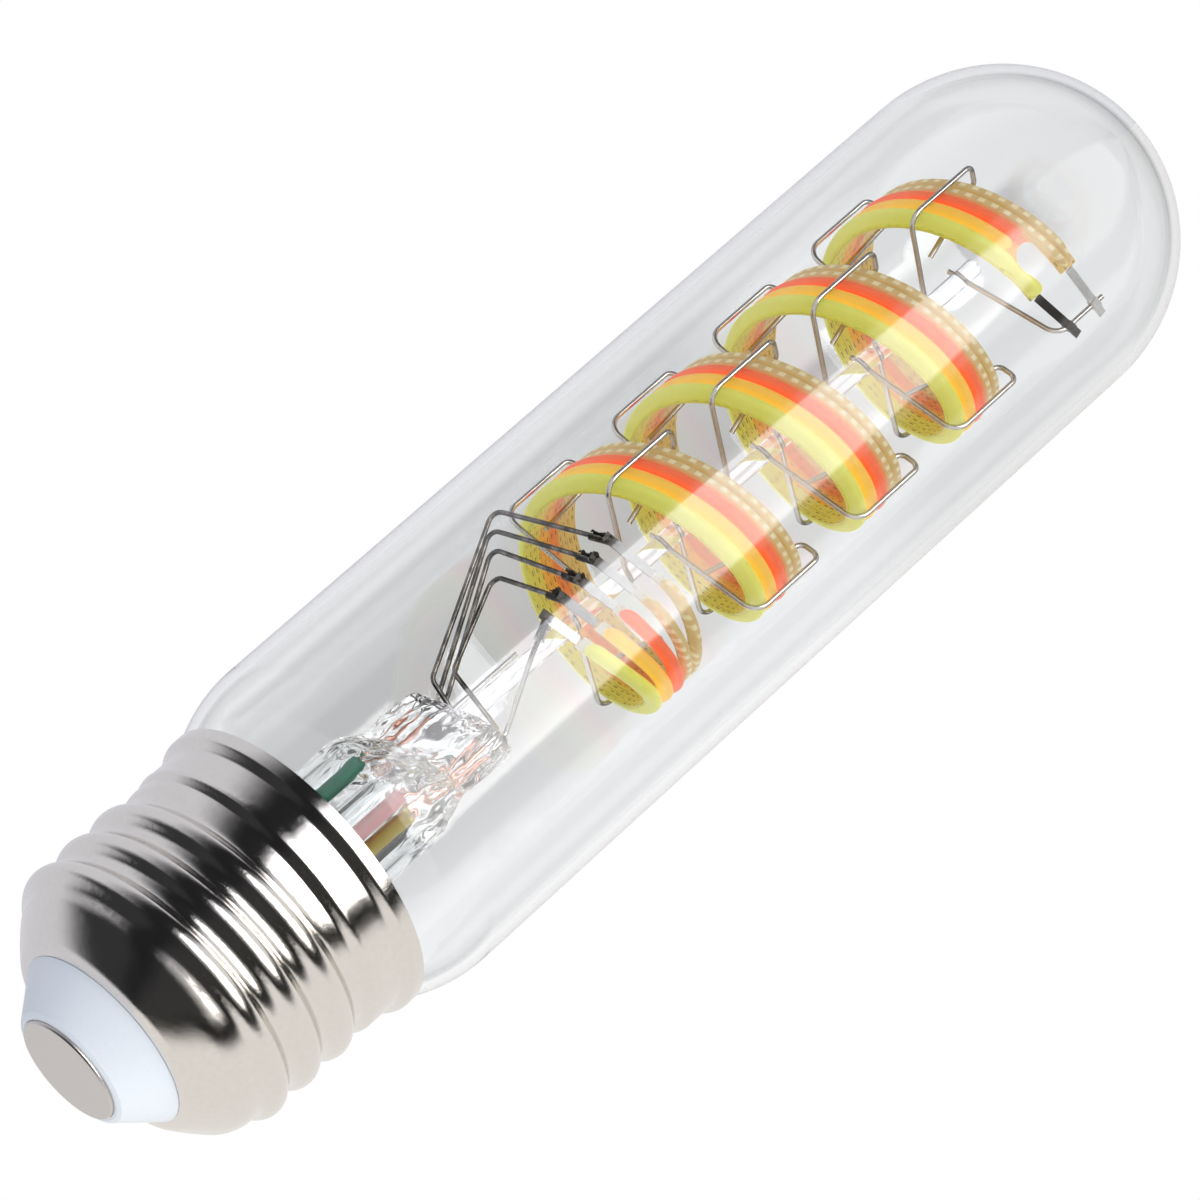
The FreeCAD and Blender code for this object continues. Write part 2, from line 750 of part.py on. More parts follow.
def make_common_end_wire():
    """The wire set in the rod's top that both end tabs are crimped to."""
    points = [
        around(end_wire_angle, -rod_diameter / 2 - hook_stub, end_wire_height),
        around(end_wire_angle, end_wire_reach, end_wire_height + end_wire_slant),
        around(end_wire_angle, end_wire_reach, ribbon_end_height + end_wire_rise)]
    return bent_wire(points, hook_diameter, [2 * hook_bend])


def make_end_tab(rise, offset, end_wire):
    """A tab from a tongue's end to the common wire, wrapped round it, with a short tail beyond."""
    tongue = around(ribbon_end, strip_radius - strip_wall / 2, ribbon_end_height + offset)
    wire = around(end_wire_angle, end_wire_reach, ribbon_end_height + rise)
    reach = (wire - tongue).normalize()
    outward = around((ribbon_end % 360 + end_wire_angle) / 2, 1, 0)
    blade = bar_between(tongue + reach * tab_gap, wire + reach * (crimp_width / 2 + end_tab_tail),
                        tab_width, tab_thickness, outward)
    wrap = bar_between(wire - reach * (crimp_width / 2), wire + reach * (crimp_width / 2),
                       tab_width, crimp_depth, outward)
    return blade.fuse(wrap).cut(end_wire)


# Driver in the cap

def make_block(size, place, bottom):
    """A small package, centred on its place."""
    x, y = place
    block = Part.makeBox(size[0], size[1], size[2])
    block.translate(Vector(x - size[0] / 2, y - size[1] / 2, bottom))
    return block


def make_can(diameter, length, place, top):
    """A round part that hangs below the board."""
    x, y = place
    return rod_between(Vector(x, y, top - length), Vector(x, y, top), diameter)


def make_driver():
    """The round driver board with its parts, and the wires to the shell and to the contact."""
    under = board_height - fit
    over = board_height + board_thickness + fit
    fuse_top = under - fuse_drop
    fuse_bottom = fuse_top - fuse_length
    wire = hook_up_wire_diameter
    shell_inside = thread_root_radius - sheet - wire / 2 - fit
    pad = board_diameter / 2 - shell_lead_inset
    shell_lead_points = [around(0, pad, over), around(0, pad, over + shell_lead_rise),
                         around(0, shell_inside, over + shell_lead_rise + shell_lead_slant)]
    return {
        "driver_board": rod_between(Vector(0, 0, board_height), Vector(0, 0, board_height + board_thickness),
                                    board_diameter),
        "smoothing_capacitor": make_can(capacitor_diameter, capacitor_length, capacitor_place, under),
        "filter_choke": make_can(choke_diameter, choke_length, choke_place, under),
        "bridge_rectifier": make_block(rectifier_size, rectifier_place, under - rectifier_size[2]),
        "control_chip": make_block(chip_size, chip_place, over),
        "fuse_resistor": make_can(fuse_diameter, fuse_length, (0, 0), fuse_top),
        "fuse_lead": rod_between(Vector(0, 0, fuse_top + fit), Vector(0, 0, under), wire),
        "contact_lead": rod_between(Vector(0, 0, contact_thickness + fit), Vector(0, 0, fuse_bottom - fit),
                                    wire),
        "shell_lead": bent_wire(shell_lead_points, wire, [wire]),
    }


def main():
    nodes = {
        "glass_envelope": make_glass_envelope(),
        "screw_shell": make_screw_shell(),
        "basing_cement": make_basing_cement(),
        "insulator": make_insulator(),
        "centre_contact": make_centre_contact(),
        "glass_stem": make_glass_stem(),
        "exhaust_tube": make_exhaust_tube(),
        "filament_strip": make_filament_strip(),
    }
    for index, (name, pitch, height, first, last, squareness) in enumerate(rows):
        nodes["bead_" + name] = make_bead(index, pitch, height, first, last, squareness)
    for index, lead in enumerate(leads):
        wire = make_lead(index, lead)
        nodes["lead_" + lead["name"]] = wire
        nodes["seal_wire_" + lead["name"]] = make_seal_wire(lead)
        nodes["sleeve_" + lead["sleeve_name"]] = make_sleeve(lead)
        nodes["start_tab_" + lead["name"]] = make_start_tab(index, lead, wire)
    nodes["lead_warm_white"] = nodes["lead_warm_white"].fuse(make_stub(leads[-1]))
    hooks = make_hooks()
    for turn, group in enumerate(hooks):
        nodes["hooks_turn_" + str(turn + 1)] = Part.makeCompound(group)
    end_wire = make_common_end_wire()
    nodes["common_end_wire"] = end_wire
    for name, rise, offset in zip(("lime", "white"), end_tab_rises, (row_offset(0), white_offset())):
        nodes["end_tab_" + name] = make_end_tab(rise, offset, end_wire)
    nodes["support_rod"] = make_support_rod([hook for group in hooks for hook in group] + [end_wire])
    nodes.update(make_driver())

    os.makedirs("parts", exist_ok=True)
    for name, shape in nodes.items():
        shape.exportStep("parts/" + name + ".step")
        print(name, "volume", round(shape.Volume, 3), "solids", len(shape.Solids), "valid", shape.isValid())


main()
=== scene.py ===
# %% [markdown]
# A clear tubular lamp. A screw cap carries a long glass bulb, and in the bulb a flexible ribbon with five
# rows of coated light strands is wound round a thin glass rod. The frame below holds every rigid piece at its
# real size, so this lesson is about finishes, light and the few pieces that need a finer surface.

# %% Load the frame
import math

import bmesh
import bpy
from mathutils import Matrix, Vector, noise


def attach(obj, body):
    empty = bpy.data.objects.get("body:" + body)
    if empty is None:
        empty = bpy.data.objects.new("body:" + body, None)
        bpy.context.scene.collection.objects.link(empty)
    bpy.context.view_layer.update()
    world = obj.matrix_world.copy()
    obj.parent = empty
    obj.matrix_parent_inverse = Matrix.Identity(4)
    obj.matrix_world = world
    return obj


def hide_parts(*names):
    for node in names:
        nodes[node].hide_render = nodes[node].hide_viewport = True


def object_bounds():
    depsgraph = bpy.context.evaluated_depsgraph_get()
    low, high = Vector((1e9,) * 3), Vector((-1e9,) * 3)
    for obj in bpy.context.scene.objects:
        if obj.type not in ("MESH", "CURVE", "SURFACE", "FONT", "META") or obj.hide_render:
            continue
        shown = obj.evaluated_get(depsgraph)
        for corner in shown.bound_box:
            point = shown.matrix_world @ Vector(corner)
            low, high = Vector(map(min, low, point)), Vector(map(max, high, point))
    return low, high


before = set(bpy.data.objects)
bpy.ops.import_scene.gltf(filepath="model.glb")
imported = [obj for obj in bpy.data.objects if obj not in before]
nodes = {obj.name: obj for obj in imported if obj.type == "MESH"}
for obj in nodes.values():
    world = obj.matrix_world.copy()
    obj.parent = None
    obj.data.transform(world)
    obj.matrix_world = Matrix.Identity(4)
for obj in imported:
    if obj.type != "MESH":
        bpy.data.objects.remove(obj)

MM = 0.001
cad_low, cad_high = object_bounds()
print("pieces from the frame:", len(nodes), "lamp length mm:", round((cad_high.z - cad_low.z) / MM, 1))

# %% [markdown]
# The camera stands below and in front of the lamp and looks up along it, so that the contact and the cap come
# first. Its place and its three directions were worked out from the thread, the tube's sides and the tip. A
# long lens keeps the tube's sides almost parallel. Writing the three directions as a matrix leaves no doubt
# about the roll, which a track constraint would.

# %% Camera
CAMERA_PLACE = Vector((0.082, -456.71, -160.93)) * MM
LOOK = Vector((0.0, 0.89982, 0.43626))
RIGHT = Vector((0.66364, -0.32634, 0.67312))
FOCAL_PIXELS = 6293.9
PHOTO_PIXELS = 1200.0
SENSOR = 36.0
NEAREST = 0.01
FARTHEST = 10.0

camera_data = bpy.data.cameras.new("camera")
camera_data.sensor_width = SENSOR
camera_data.lens = FOCAL_PIXELS * SENSOR / PHOTO_PIXELS
camera_data.clip_start = NEAREST
camera_data.clip_end = FARTHEST
camera = bpy.data.objects.new("camera", camera_data)
bpy.context.scene.collection.objects.link(camera)
up = RIGHT.cross(LOOK).normalized()
turn = Matrix((RIGHT, up, -LOOK)).transposed().to_4x4()
camera.matrix_world = Matrix.Translation(CAMERA_PLACE) @ turn
bpy.context.scene.camera = camera
bpy.context.scene.view_settings.view_transform = "Standard"
print("lens mm:", round(camera_data.lens, 1))

# %% [markdown]
# Finishes are built from shader nodes. A small class wraps one output socket, so that a pattern can be
# written as a sum or a product, and each operator adds the Math node that does it. One function adds every
# other kind of node: it sets the node's own settings first, then fills its sockets with values or links.

# %% Sockets as values, and one way to add a node
class Value:
    """One output socket. Arithmetic on it adds Math nodes to its tree."""

    def __init__(self, socket):
        self.socket = socket

    def math(self, operation, *values):
        sockets = dict(enumerate((self,) + values))
        return add(self.socket.id_data, "ShaderNodeMath", {"operation": operation}, sockets).out()

    def __add__(self, other):
        return self.math("ADD", other)

    def __sub__(self, other):
        return self.math("SUBTRACT", other)

    def __mul__(self, other):
        return self.math("MULTIPLY", other)

    def __truediv__(self, other):
        return self.math("DIVIDE", other)

    def __rsub__(self, other):
        return (self * -1.0) + other

    __radd__ = __add__
    __rmul__ = __mul__


class Added:
    """A node that was added, whose outputs are read by name or number."""

    def __init__(self, node):
        self.node = node

    def out(self, which=0):
        return Value(self.node.outputs[which])


def add(tree, kind, settings=None, sockets=None):
    """Adds a node of a kind, sets its settings, then its sockets' values or links."""
    node = tree.nodes.new(kind)
    for name, value in (settings or {}).items():
        if name == "stops":
            ramp = node.color_ramp.elements
            while len(ramp) < len(value):
                ramp.new(0.5)
            for stop, (place, color) in zip(ramp, value):
                stop.position = place
                stop.color = (*color, 1.0)
        else:
            setattr(node, name, value)
    for name, value in (sockets or {}).items():
        socket = node.inputs[name]
        if isinstance(value, Value):
            tree.links.new(value.socket, socket)
        elif socket.type == "RGBA" and len(value) == 3:
            socket.default_value = (*value, 1.0)
        else:
            socket.default_value = value
    return Added(node)


def smooth_step(value, low, high):
    """0 below low, 1 above high, and a soft slope between."""
    return add(value.socket.id_data, "ShaderNodeMapRange", {"interpolation_type": "SMOOTHSTEP"},
               {"Value": value, "From Min": low, "From Max": high}).out()


def between(value, low, high, soft):
    """1 from low to high, with soft edges."""
    return smooth_step(value, low - soft, low + soft) * (1.0 - smooth_step(value, high - soft, high + soft))


def mix_color(tree, amount, first, second):
    """The second colour laid over the first."""
    return add(tree, "ShaderNodeMix", {"data_type": "RGBA"},
               {"Factor": amount, 6: first, 7: second}).out(2)


print("node helpers ready")

# %% [markdown]
# Bright metal and glass show the room more than themselves, so the studio is designed by what they reflect.
# It is a pale room with one tall bright window, narrow dark panels on either side of it and a dark area round
# the camera. All of it is drawn in the world by direction. Real lamps and cards would do the same, but their
# edges would need many more samples to come out clean. Matt surfaces get a soft even light, a little stronger
# from the right, and the camera itself sees plain white behind the lamp. Bearings are degrees round the lamp
# from the front, -Y, towards +X, and heights are the direction's z.

# %% Studio light
ROOM_LEFT = 0.78
ROOM_RIGHT = 0.90
SOFT = 1.04
SOFT_FROM_RIGHT = 0.48
SOFT_FROM_ABOVE = 0.08
ROOM_WARM = (1.0, 0.975, 0.945)
ROOM_COOL = (0.93, 0.93, 1.0)
WINDOW = 4.6
WINDOW_MIDDLE = (14.5, 0.19)
WINDOW_HALF = (28.8, 0.33)
WINDOW_SQUARENESS = 4.0
WINDOW_RIM = (0.92, 1.08)
DARK = 0.02
DARK_LEFT = (-86.0, -46.0, -14.0)
DARK_RIGHT = (44.0, 67.0)
EDGE = 3.0
SIDE_CHANGE = (-30.0, 30.0)
BELOW_HEIGHTS = (-0.55, -0.05)
BELOW_BEARINGS = (-112.0, 62.0)
BELOW_EDGE = 14.0
BELOW_SHARE = 0.97

world = bpy.data.worlds.new("studio")
bpy.context.scene.world = world
world.use_nodes = True
sky = world.node_tree
sky.nodes.clear()
direction = add(sky, "ShaderNodeTexCoord").out("Generated")
axes = add(sky, "ShaderNodeSeparateXYZ", None, {0: direction})
x, y, z = axes.out(0), axes.out(1), axes.out(2)
bearing = x.math("ARCTAN2", y * -1.0) * math.degrees(1.0)
aside = ((bearing - WINDOW_MIDDLE[0]) / WINDOW_HALF[0]).math("POWER", WINDOW_SQUARENESS)
above = ((z - WINDOW_MIDDLE[1]) / WINDOW_HALF[1]).math("POWER", WINDOW_SQUARENESS)
window = 1.0 - smooth_step(aside + above, *WINDOW_RIM)
left_end = smooth_step(bearing, DARK_LEFT[2] - EDGE, DARK_LEFT[2] + EDGE)
dark_left = smooth_step(bearing, *DARK_LEFT[:2]) * (1.0 - left_end)
dark_right = between(bearing, *DARK_RIGHT, EDGE)
below = (1.0 - smooth_step(z, *BELOW_HEIGHTS)) * between(bearing, *BELOW_BEARINGS, BELOW_EDGE) * BELOW_SHARE
dark = dark_left.math("MAXIMUM", dark_right).math("MAXIMUM", below)
side = smooth_step(bearing, *SIDE_CHANGE)
room_color = mix_color(sky, side, ROOM_COOL, ROOM_WARM)
room = side * (ROOM_RIGHT - ROOM_LEFT) + ROOM_LEFT
level = (1.0 - dark) * room + dark * DARK
level = level * (1.0 - window) + window * WINDOW
path = add(sky, "ShaderNodeLightPath")
scattered = path.out("Diffuse Depth").math("GREATER_THAN", 0.5)
soft = x * SOFT_FROM_RIGHT + z * SOFT_FROM_ABOVE + SOFT
level = level * (1.0 - scattered) + scattered * soft
light = add(sky, "ShaderNodeBackground", None, {"Color": room_color, "Strength": level})
plain = add(sky, "ShaderNodeBackground", None, {"Color": (1.0, 1.0, 1.0), "Strength": 1.0})
both = add(sky, "ShaderNodeMixShader", None, {0: path.out("Is Camera Ray"), 1: light.out(), 2: plain.out()})
add(sky, "ShaderNodeOutputWorld", None, {"Surface": both.out()})
print("window middle and half size:", WINDOW_MIDDLE, WINDOW_HALF)

# %% [markdown]
# Clear glass is drawn by what stands behind it. A large sheet behind the lamp is pale in the middle and dark
# far out, so straight looks through the bulb stay pale, while every strongly bent look, at the edges of tube,
# rod and press, finds the dark surround and draws a dark line. Soft bands of grey run along the tube, with a
# darker stripe where the window's reflection adds its own light. The sheet faces the main camera, and only
# looks through glass meet it.

# %% Sheet behind the glass
SHEET_BEHIND = 150.0
SHEET_REACH = 8.0
TUBE_MIDDLE = Vector((0.0, 0.0, 63.0))
TUBE_SLOPE = 43.1
TUBE_HALF_WIDTH = 0.311
TUBE_ASIDE = 0.024
SHEET_DARK = 0.16
SHEET_BRIGHT_RADIUS = 2.5
SHEET_RIM = 0.5
SHEET_TONES = (
    (-2.0, 0.88), (-1.27, 0.70), (-0.88, 0.60), (-0.56, 0.61), (-0.28, 0.58), (-0.07, 0.56), (0.14, 0.55),
    (0.35, 0.57), (0.56, 0.76), (0.88, 0.81), (1.27, 0.97), (2.0, 1.0))
TONES_REACH = 2.2
TONE_RED_GREEN = 0.985
STRIPE = (-0.14, 0.46)
STRIPE_EDGE = 0.06
STRIPE_END = (0.94, 1.04)
TIP_START = (0.32, 0.58)
TIP_TONE = (0.84, 0.84, 0.85)
DARK_BLUE = 1.06

middle = TUBE_MIDDLE * MM
depth = (middle - CAMERA_PLACE).dot(LOOK) + SHEET_BEHIND * MM
half_field = depth * PHOTO_PIXELS / FOCAL_PIXELS / 2
sheet_mesh = bpy.data.meshes.new("sheet_behind")
reach = SHEET_REACH
sheet_mesh.from_pydata([(-reach, -reach, 0), (reach, -reach, 0), (reach, reach, 0), (-reach, reach, 0)], [],
                       [(0, 1, 2, 3)])
sheet = bpy.data.objects.new("sheet_behind", sheet_mesh)
bpy.context.scene.collection.objects.link(sheet)
sheet.matrix_world = Matrix.Translation(CAMERA_PLACE + LOOK * depth) @ turn @ Matrix.Scale(half_field, 4)
sheet.visible_camera = False
sheet.visible_diffuse = False
sheet.visible_glossy = False
sheet.visible_shadow = False
sheet_finish = bpy.data.materials.new("sheet_behind")
sheet_finish.use_nodes = True
paper = sheet_finish.node_tree
paper.nodes.clear()
spot = add(paper, "ShaderNodeSeparateXYZ", None, {0: add(paper, "ShaderNodeTexCoord").out("Object")})
u, v = spot.out(0), spot.out(1)
slope = math.radians(TUBE_SLOPE)
along = u * math.cos(slope) + v * math.sin(slope)
across = u * math.sin(slope) - v * math.cos(slope)
tones = []
for place, shade in SHEET_TONES:
    warm = shade * TONE_RED_GREEN
    tones.append(((place + TONES_REACH) / (2 * TONES_REACH), (warm, warm, shade)))
tone = add(paper, "ShaderNodeValToRGB", {"stops": tones},
           {0: (across + TUBE_ASIDE) / (2 * TONES_REACH * TUBE_HALF_WIDTH) + 0.5}).out()
behind_window = between((across + TUBE_ASIDE) / TUBE_HALF_WIDTH, *STRIPE, STRIPE_EDGE)
behind_window = behind_window * (1.0 - smooth_step(along, *STRIPE_END))
tone = mix_color(paper, smooth_step(along, *TIP_START) * (1.0 - behind_window), tone, TIP_TONE)
far = (u * u + v * v).math("SQRT")
surround = smooth_step(far, SHEET_BRIGHT_RADIUS - SHEET_RIM, SHEET_BRIGHT_RADIUS + SHEET_RIM)
tone = mix_color(paper, surround, tone, (SHEET_DARK, SHEET_DARK, SHEET_DARK * DARK_BLUE))
glow = add(paper, "ShaderNodeEmission", None, {"Color": tone, "Strength": 1.0})
scattered = add(paper, "ShaderNodeLightPath").out("Diffuse Depth").math("GREATER_THAN", 0.5)
away = add(paper, "ShaderNodeBsdfTransparent")
sheet_mix = add(paper, "ShaderNodeMixShader", None, {0: scattered, 1: glow.out(), 2: away.out()})
add(paper, "ShaderNodeOutputMaterial", None, {"Surface": sheet_mix.out()})
sheet_mesh.materials.append(sheet_finish)
print("sheet behind, half field mm:", round(half_field / MM, 1))

# %% [markdown]
# The lamp stands on its contact on a plain pale floor. The main camera looks up from below that floor, so the
# floor's underside is clear. It is also left out of reflections, which keeps the cap's mirror picture the
# same from every side.

# %% Floor
FLOOR_SIZE = 3.0
FLOOR_DROP = 0.05
FLOOR_COLOR = (0.86, 0.86, 0.87)

floor_mesh = bpy.data.meshes.new("floor")
half = FLOOR_SIZE / 2
floor_mesh.from_pydata([(-half, -half, 0), (half, -half, 0), (half, half, 0), (-half, half, 0)], [],
                       [(0, 1, 2, 3)])
floor = bpy.data.objects.new("floor", floor_mesh)
floor.location.z = cad_low.z - FLOOR_DROP * MM
bpy.context.scene.collection.objects.link(floor)
floor.visible_glossy = False
floor.visible_diffuse = False
floor_finish = bpy.data.materials.new("floor_paper")
floor_finish.use_nodes = True
paper = floor_finish.node_tree
paper.nodes.clear()
under = add(paper, "ShaderNodeNewGeometry").out("Backfacing")
matt = add(paper, "ShaderNodeBsdfDiffuse", None, {"Color": FLOOR_COLOR})
clear = add(paper, "ShaderNodeBsdfTransparent")
floor_mix = add(paper, "ShaderNodeMixShader", None, {0: under, 1: matt.out(), 2: clear.out()})
add(paper, "ShaderNodeOutputMaterial", None, {"Surface": floor_mix.out()})
floor_mesh.materials.append(floor_finish)
print("floor at mm", round(floor.location.z / MM, 2))

# %% [markdown]
# Every finish starts as one Principled shader with plain numbers on its sockets. A pattern is then linked to
# the colour, the roughness or the normal, and on the ribbon also to the emission, which is a painted glow.
# The place on the object comes from object coordinates, which are metres in the lamp's own frame here, so a
# pattern keeps its real scale on every piece.

# %% Start a finish
class Finish:
    """A material with one Principled shader."""

    def __init__(self, name, **values):
        self.material = bpy.data.materials.new(name)
        self.material.use_nodes = True
        self.tree = self.material.node_tree
        self.shader = self.tree.nodes["Principled BSDF"]
        for socket, value in values.items():
            self.set(socket.replace("_", " "), value)

    def set(self, name, value):
        socket = self.shader.inputs[name]
        if isinstance(value, Value):
            self.tree.links.new(value.socket, socket)
        elif socket.type == "RGBA":
            socket.default_value = (*value, 1.0)
        else:
            socket.default_value = value

    def add(self, kind, settings=None, sockets=None):
        return add(self.tree, kind, settings, sockets)

    def place(self):
        """Millimetres along the three axes of the lamp."""
        return self.add("ShaderNodeVectorMath", {"operation": "SCALE"},
                        {0: self.add("ShaderNodeTexCoord").out("Object"), "Scale": 1.0 / MM}).out()

    def split(self, vector):
        parts = self.add("ShaderNodeSeparateXYZ", None, {0: vector})
        return parts.out(0), parts.out(1), parts.out(2)

    def noise(self, scale, detail=3.0, where=None):
        return self.add("ShaderNodeTexNoise", None,
                        {"Vector": where or self.place(), "Scale": scale, "Detail": detail}).out()

    def bump(self, height, distance, strength=1.0):
        sockets = {"Height": height, "Distance": distance * MM, "Strength": strength}
        self.set("Normal", self.add("ShaderNodeBump", None, sockets).out())

    def color(self, amount, first, second):
        return mix_color(self.tree, amount, first, second)

    def wear(self, names):
        """Puts this finish on CAD nodes."""
        for name in names:
            nodes[name].data.materials.clear()
            nodes[name].data.materials.append(self.material)


print("finish class ready")

# %% [markdown]
# The bulb, its stem and the rod are the same clear glass. Glass shows every flat on its surface as a wave in
# what is behind it, so these pieces get a finer skin than the frame's: outlines turned round the axis in
# hundreds of small steps, with both faces of each wall in the mesh, because light bends at both.

# %% Turned glass
WELD = 0.001
GLASS_WALL = 0.9
GLASS_COLUMNS = 240
NECK_RADIUS = 12.3
NECK_BOTTOM = 20.75
NECK_TOP = 23.274
NECK_FILLET = 2.0
SHOULDER_RADIUS = 13.0
SHOULDER_TOP = 32.0
TIP_BEYOND_ROUND = 0.5
ROD_DIAMETER = 1.6
ROD_BOTTOM = 41.0
ROD_COLUMNS = 48
ROD_STATIONS = 20
TUBE_STATIONS = 12
FILLET_STEPS = 8
SHOULDER_STEPS = 24
TIP_STEPS = 40
ROD_TIP_STEPS = 10


def node_box(name):
    """Lowest and highest corner of a CAD node in millimetres."""
    corners = [nodes[name].matrix_world @ Vector(corner) / MM for corner in nodes[name].bound_box]
    low = Vector([min(corner[axis] for corner in corners) for axis in range(3)])
    high = Vector([max(corner[axis] for corner in corners) for axis in range(3)])
    return low, high


def make_mesh(name, rings, finish):
    """A closed skin through rings of points in millimetres. A ring of one point closes an end."""
    points = []
    starts = []
    for ring in rings:
        starts.append(len(points))
        points += [Vector(point) * MM for point in ring]
    faces = []
    for index in range(len(rings) - 1):
        low, high = starts[index], starts[index + 1]
        count = max(len(rings[index]), len(rings[index + 1]))
        if count == 1:
            continue
        for step in range(count):
            after = (step + 1) % count
            if len(rings[index]) == 1:
                faces.append((low, high + after, high + step))
            elif len(rings[index + 1]) == 1:
                faces.append((low + step, low + after, high))
            else:
                faces.append((low + step, low + after, high + after, high + step))
    return new_piece(name, points, faces, finish)


def new_piece(name, points, faces, finish, smooth=True):
    """A mesh object with its doubled points welded."""
    mesh = bpy.data.meshes.new(name)
    mesh.from_pydata(points, [], faces)
    body = bmesh.new()
    body.from_mesh(mesh)
    bmesh.ops.remove_doubles(body, verts=body.verts, dist=WELD * MM)
    for face in body.faces:
        face.smooth = smooth
    body.to_mesh(mesh)
    body.free()
    mesh.materials.append(finish.material)
    piece = bpy.data.objects.new(name, mesh)
    bpy.context.scene.collection.objects.link(piece)
    return piece


def turned(name, outline, columns, finish):
    """An outline of radius and height pairs turned round the axis."""
    rings = []
    for radius, height in outline:
        if radius < 1e-6:
            rings.append([(0.0, 0.0, height)])
            continue
        angles = [2 * math.pi * step / columns for step in range(columns)]
        rings.append([(radius * math.sin(angle), -radius * math.cos(angle), height) for angle in angles])
    return make_mesh(name, rings, finish)


def arc(centre, radii, first, last, steps):
    """Points on an arc or an ellipse, by angle in degrees."""
    points = []
    for step in range(steps + 1):
        turn_by = math.radians(first + (last - first) * step / steps)
        points.append((centre[0] + radii[0] * math.cos(turn_by), centre[1] + radii[1] * math.sin(turn_by)))
    return points


def clear_glass(name, tint, bend):
    """Smooth glass of a tint that bends light by an index."""
    return Finish(name, Base_Color=tint, Roughness=0.0, IOR=bend, Transmission_Weight=1.0)


glass = clear_glass("clear_glass", (0.985, 0.995, 0.995), 1.47)


def envelope_outline(inset):
    """From the neck's foot to the tip, as radius and height."""
    high = node_box("glass_envelope")[1]
    radius = high.x
    shoulder = radius - SHOULDER_RADIUS
    fillet = NECK_RADIUS + NECK_FILLET
    lean = math.degrees(math.atan2(NECK_TOP - SHOULDER_TOP, fillet - shoulder))
    tip_rise = radius + TIP_BEYOND_ROUND
    outline = [(NECK_RADIUS - inset, NECK_BOTTOM)]
    outline += arc((fillet, NECK_TOP), (NECK_FILLET + inset,) * 2, 180.0, 180.0 + lean, FILLET_STEPS)
    outline += arc((shoulder, SHOULDER_TOP), (SHOULDER_RADIUS - inset,) * 2, lean, 0.0, SHOULDER_STEPS)[1:]
    dome = high.z - tip_rise
    outline += [(radius - inset, SHOULDER_TOP + (dome - SHOULDER_TOP) * step / TUBE_STATIONS)
                for step in range(1, TUBE_STATIONS)]
    outline += arc((0.0, dome), (radius - inset, tip_rise - inset), 0.0, 90.0, TIP_STEPS)
    outline[-1] = (0.0, high.z - inset)
    return outline


outer = envelope_outline(0.0)
inner = envelope_outline(GLASS_WALL)
bulb = turned("glass_bulb", outer + inner[::-1] + outer[:1], GLASS_COLUMNS, glass)
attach(bulb, "root")
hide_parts("glass_envelope")

rod_top = node_box("support_rod")[1].z
rod_radius = ROD_DIAMETER / 2
rod_straight = rod_top - rod_radius - ROD_BOTTOM
rod_outline = [(0.0, ROD_BOTTOM), (rod_radius, ROD_BOTTOM)]
rod_outline += [(rod_radius, ROD_BOTTOM + rod_straight * step / ROD_STATIONS)
                for step in range(1, ROD_STATIONS)]
rod_outline += arc((0.0, rod_top - rod_radius), (rod_radius, rod_radius), 0.0, 90.0, ROD_TIP_STEPS)
rod_outline[-1] = (0.0, rod_top)
rod = turned("glass_rod", rod_outline, ROD_COLUMNS, clear_glass("rod_glass", (0.92, 0.925, 0.95), 1.5))
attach(rod, "root")
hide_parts("support_rod")
print("bulb faces:", len(bulb.data.polygons), "rod faces:", len(rod.data.polygons))

# %% [markdown]
# The press is where the hot stem was pinched shut on the wires. The tongs leave deep folds in it, and those
# folds are what the eye sees, since clear glass only shows where it bends. The skin is built ring by ring
# from the stem's own sections, and pushed in and out by creased noise that is strongest in the pinch.

# %% Folded press
STEM_RIM = (21.2, 11.37)
STEM_TUBE_TOP = 29.5
STEM_TUBE_RADIUS = 5.7
STEM_WALL = 0.9
PINCH = (33.5, 39.0)
PRESS_TOP = 44.0
PRESS_HALF = (5.95, 1.9)
PRESS_TURN = math.radians(41.0)
PRESS_SQUARENESS = 3.0
CAVITY_TOP = 38.0
CAVITY_FOLDS = 0.55
FOLD_DEPTH = 0.55
FOLD_START = 31.5
FOLD_RISE = 5.0
FINE_FROM = 31.0
TOP_EDGE = 0.6
TOP_INSET = 0.5
TOP_WAVE = 0.5
NARROWEST = 1.2
WIDE_FOLDS = (0.45, 0.25, 0.45, 1.0)
NARROW_FOLDS = (1.0, 0.45, 0.5, 0.6)
NARROW_SHIFT = 7.0
STEM_COLUMNS = 144


def smooth_share(value):
    value = min(max(value, 0.0), 1.0)
    return value * value * (3 - 2 * value)


def stem_section(height):
    """Half width, half thickness and squareness of the stem's outside."""
    if height < STEM_TUBE_TOP:
        share = (STEM_TUBE_TOP - height) / (STEM_TUBE_TOP - STEM_RIM[0])
        radius = STEM_RIM[1] - (STEM_RIM[1] - STEM_TUBE_RADIUS) * math.sqrt(max(1 - share ** 2, 0.0))
        return radius, radius, 2.0
    pinch = smooth_share((height - PINCH[0]) / (PINCH[1] - PINCH[0]))
    return (STEM_TUBE_RADIUS + (PRESS_HALF[0] - STEM_TUBE_RADIUS) * pinch,
            STEM_TUBE_RADIUS + (PRESS_HALF[1] - STEM_TUBE_RADIUS) * pinch,
            2.0 + (PRESS_SQUARENESS - 2.0) * pinch)


def fold(point):
    """Creased noise, stretched along the stem. Each kind of fold has two scales, a level and a weight."""
    total = 0.0
    for (scale, scale_along, level, weight), shift in ((WIDE_FOLDS, 0.0), (NARROW_FOLDS, NARROW_SHIFT)):
        crease = noise.noise(Vector((point[0] * scale + shift, point[1] * scale, point[2] * scale_along)))
        total += weight * (abs(crease) * 2.0 - level)
    return total


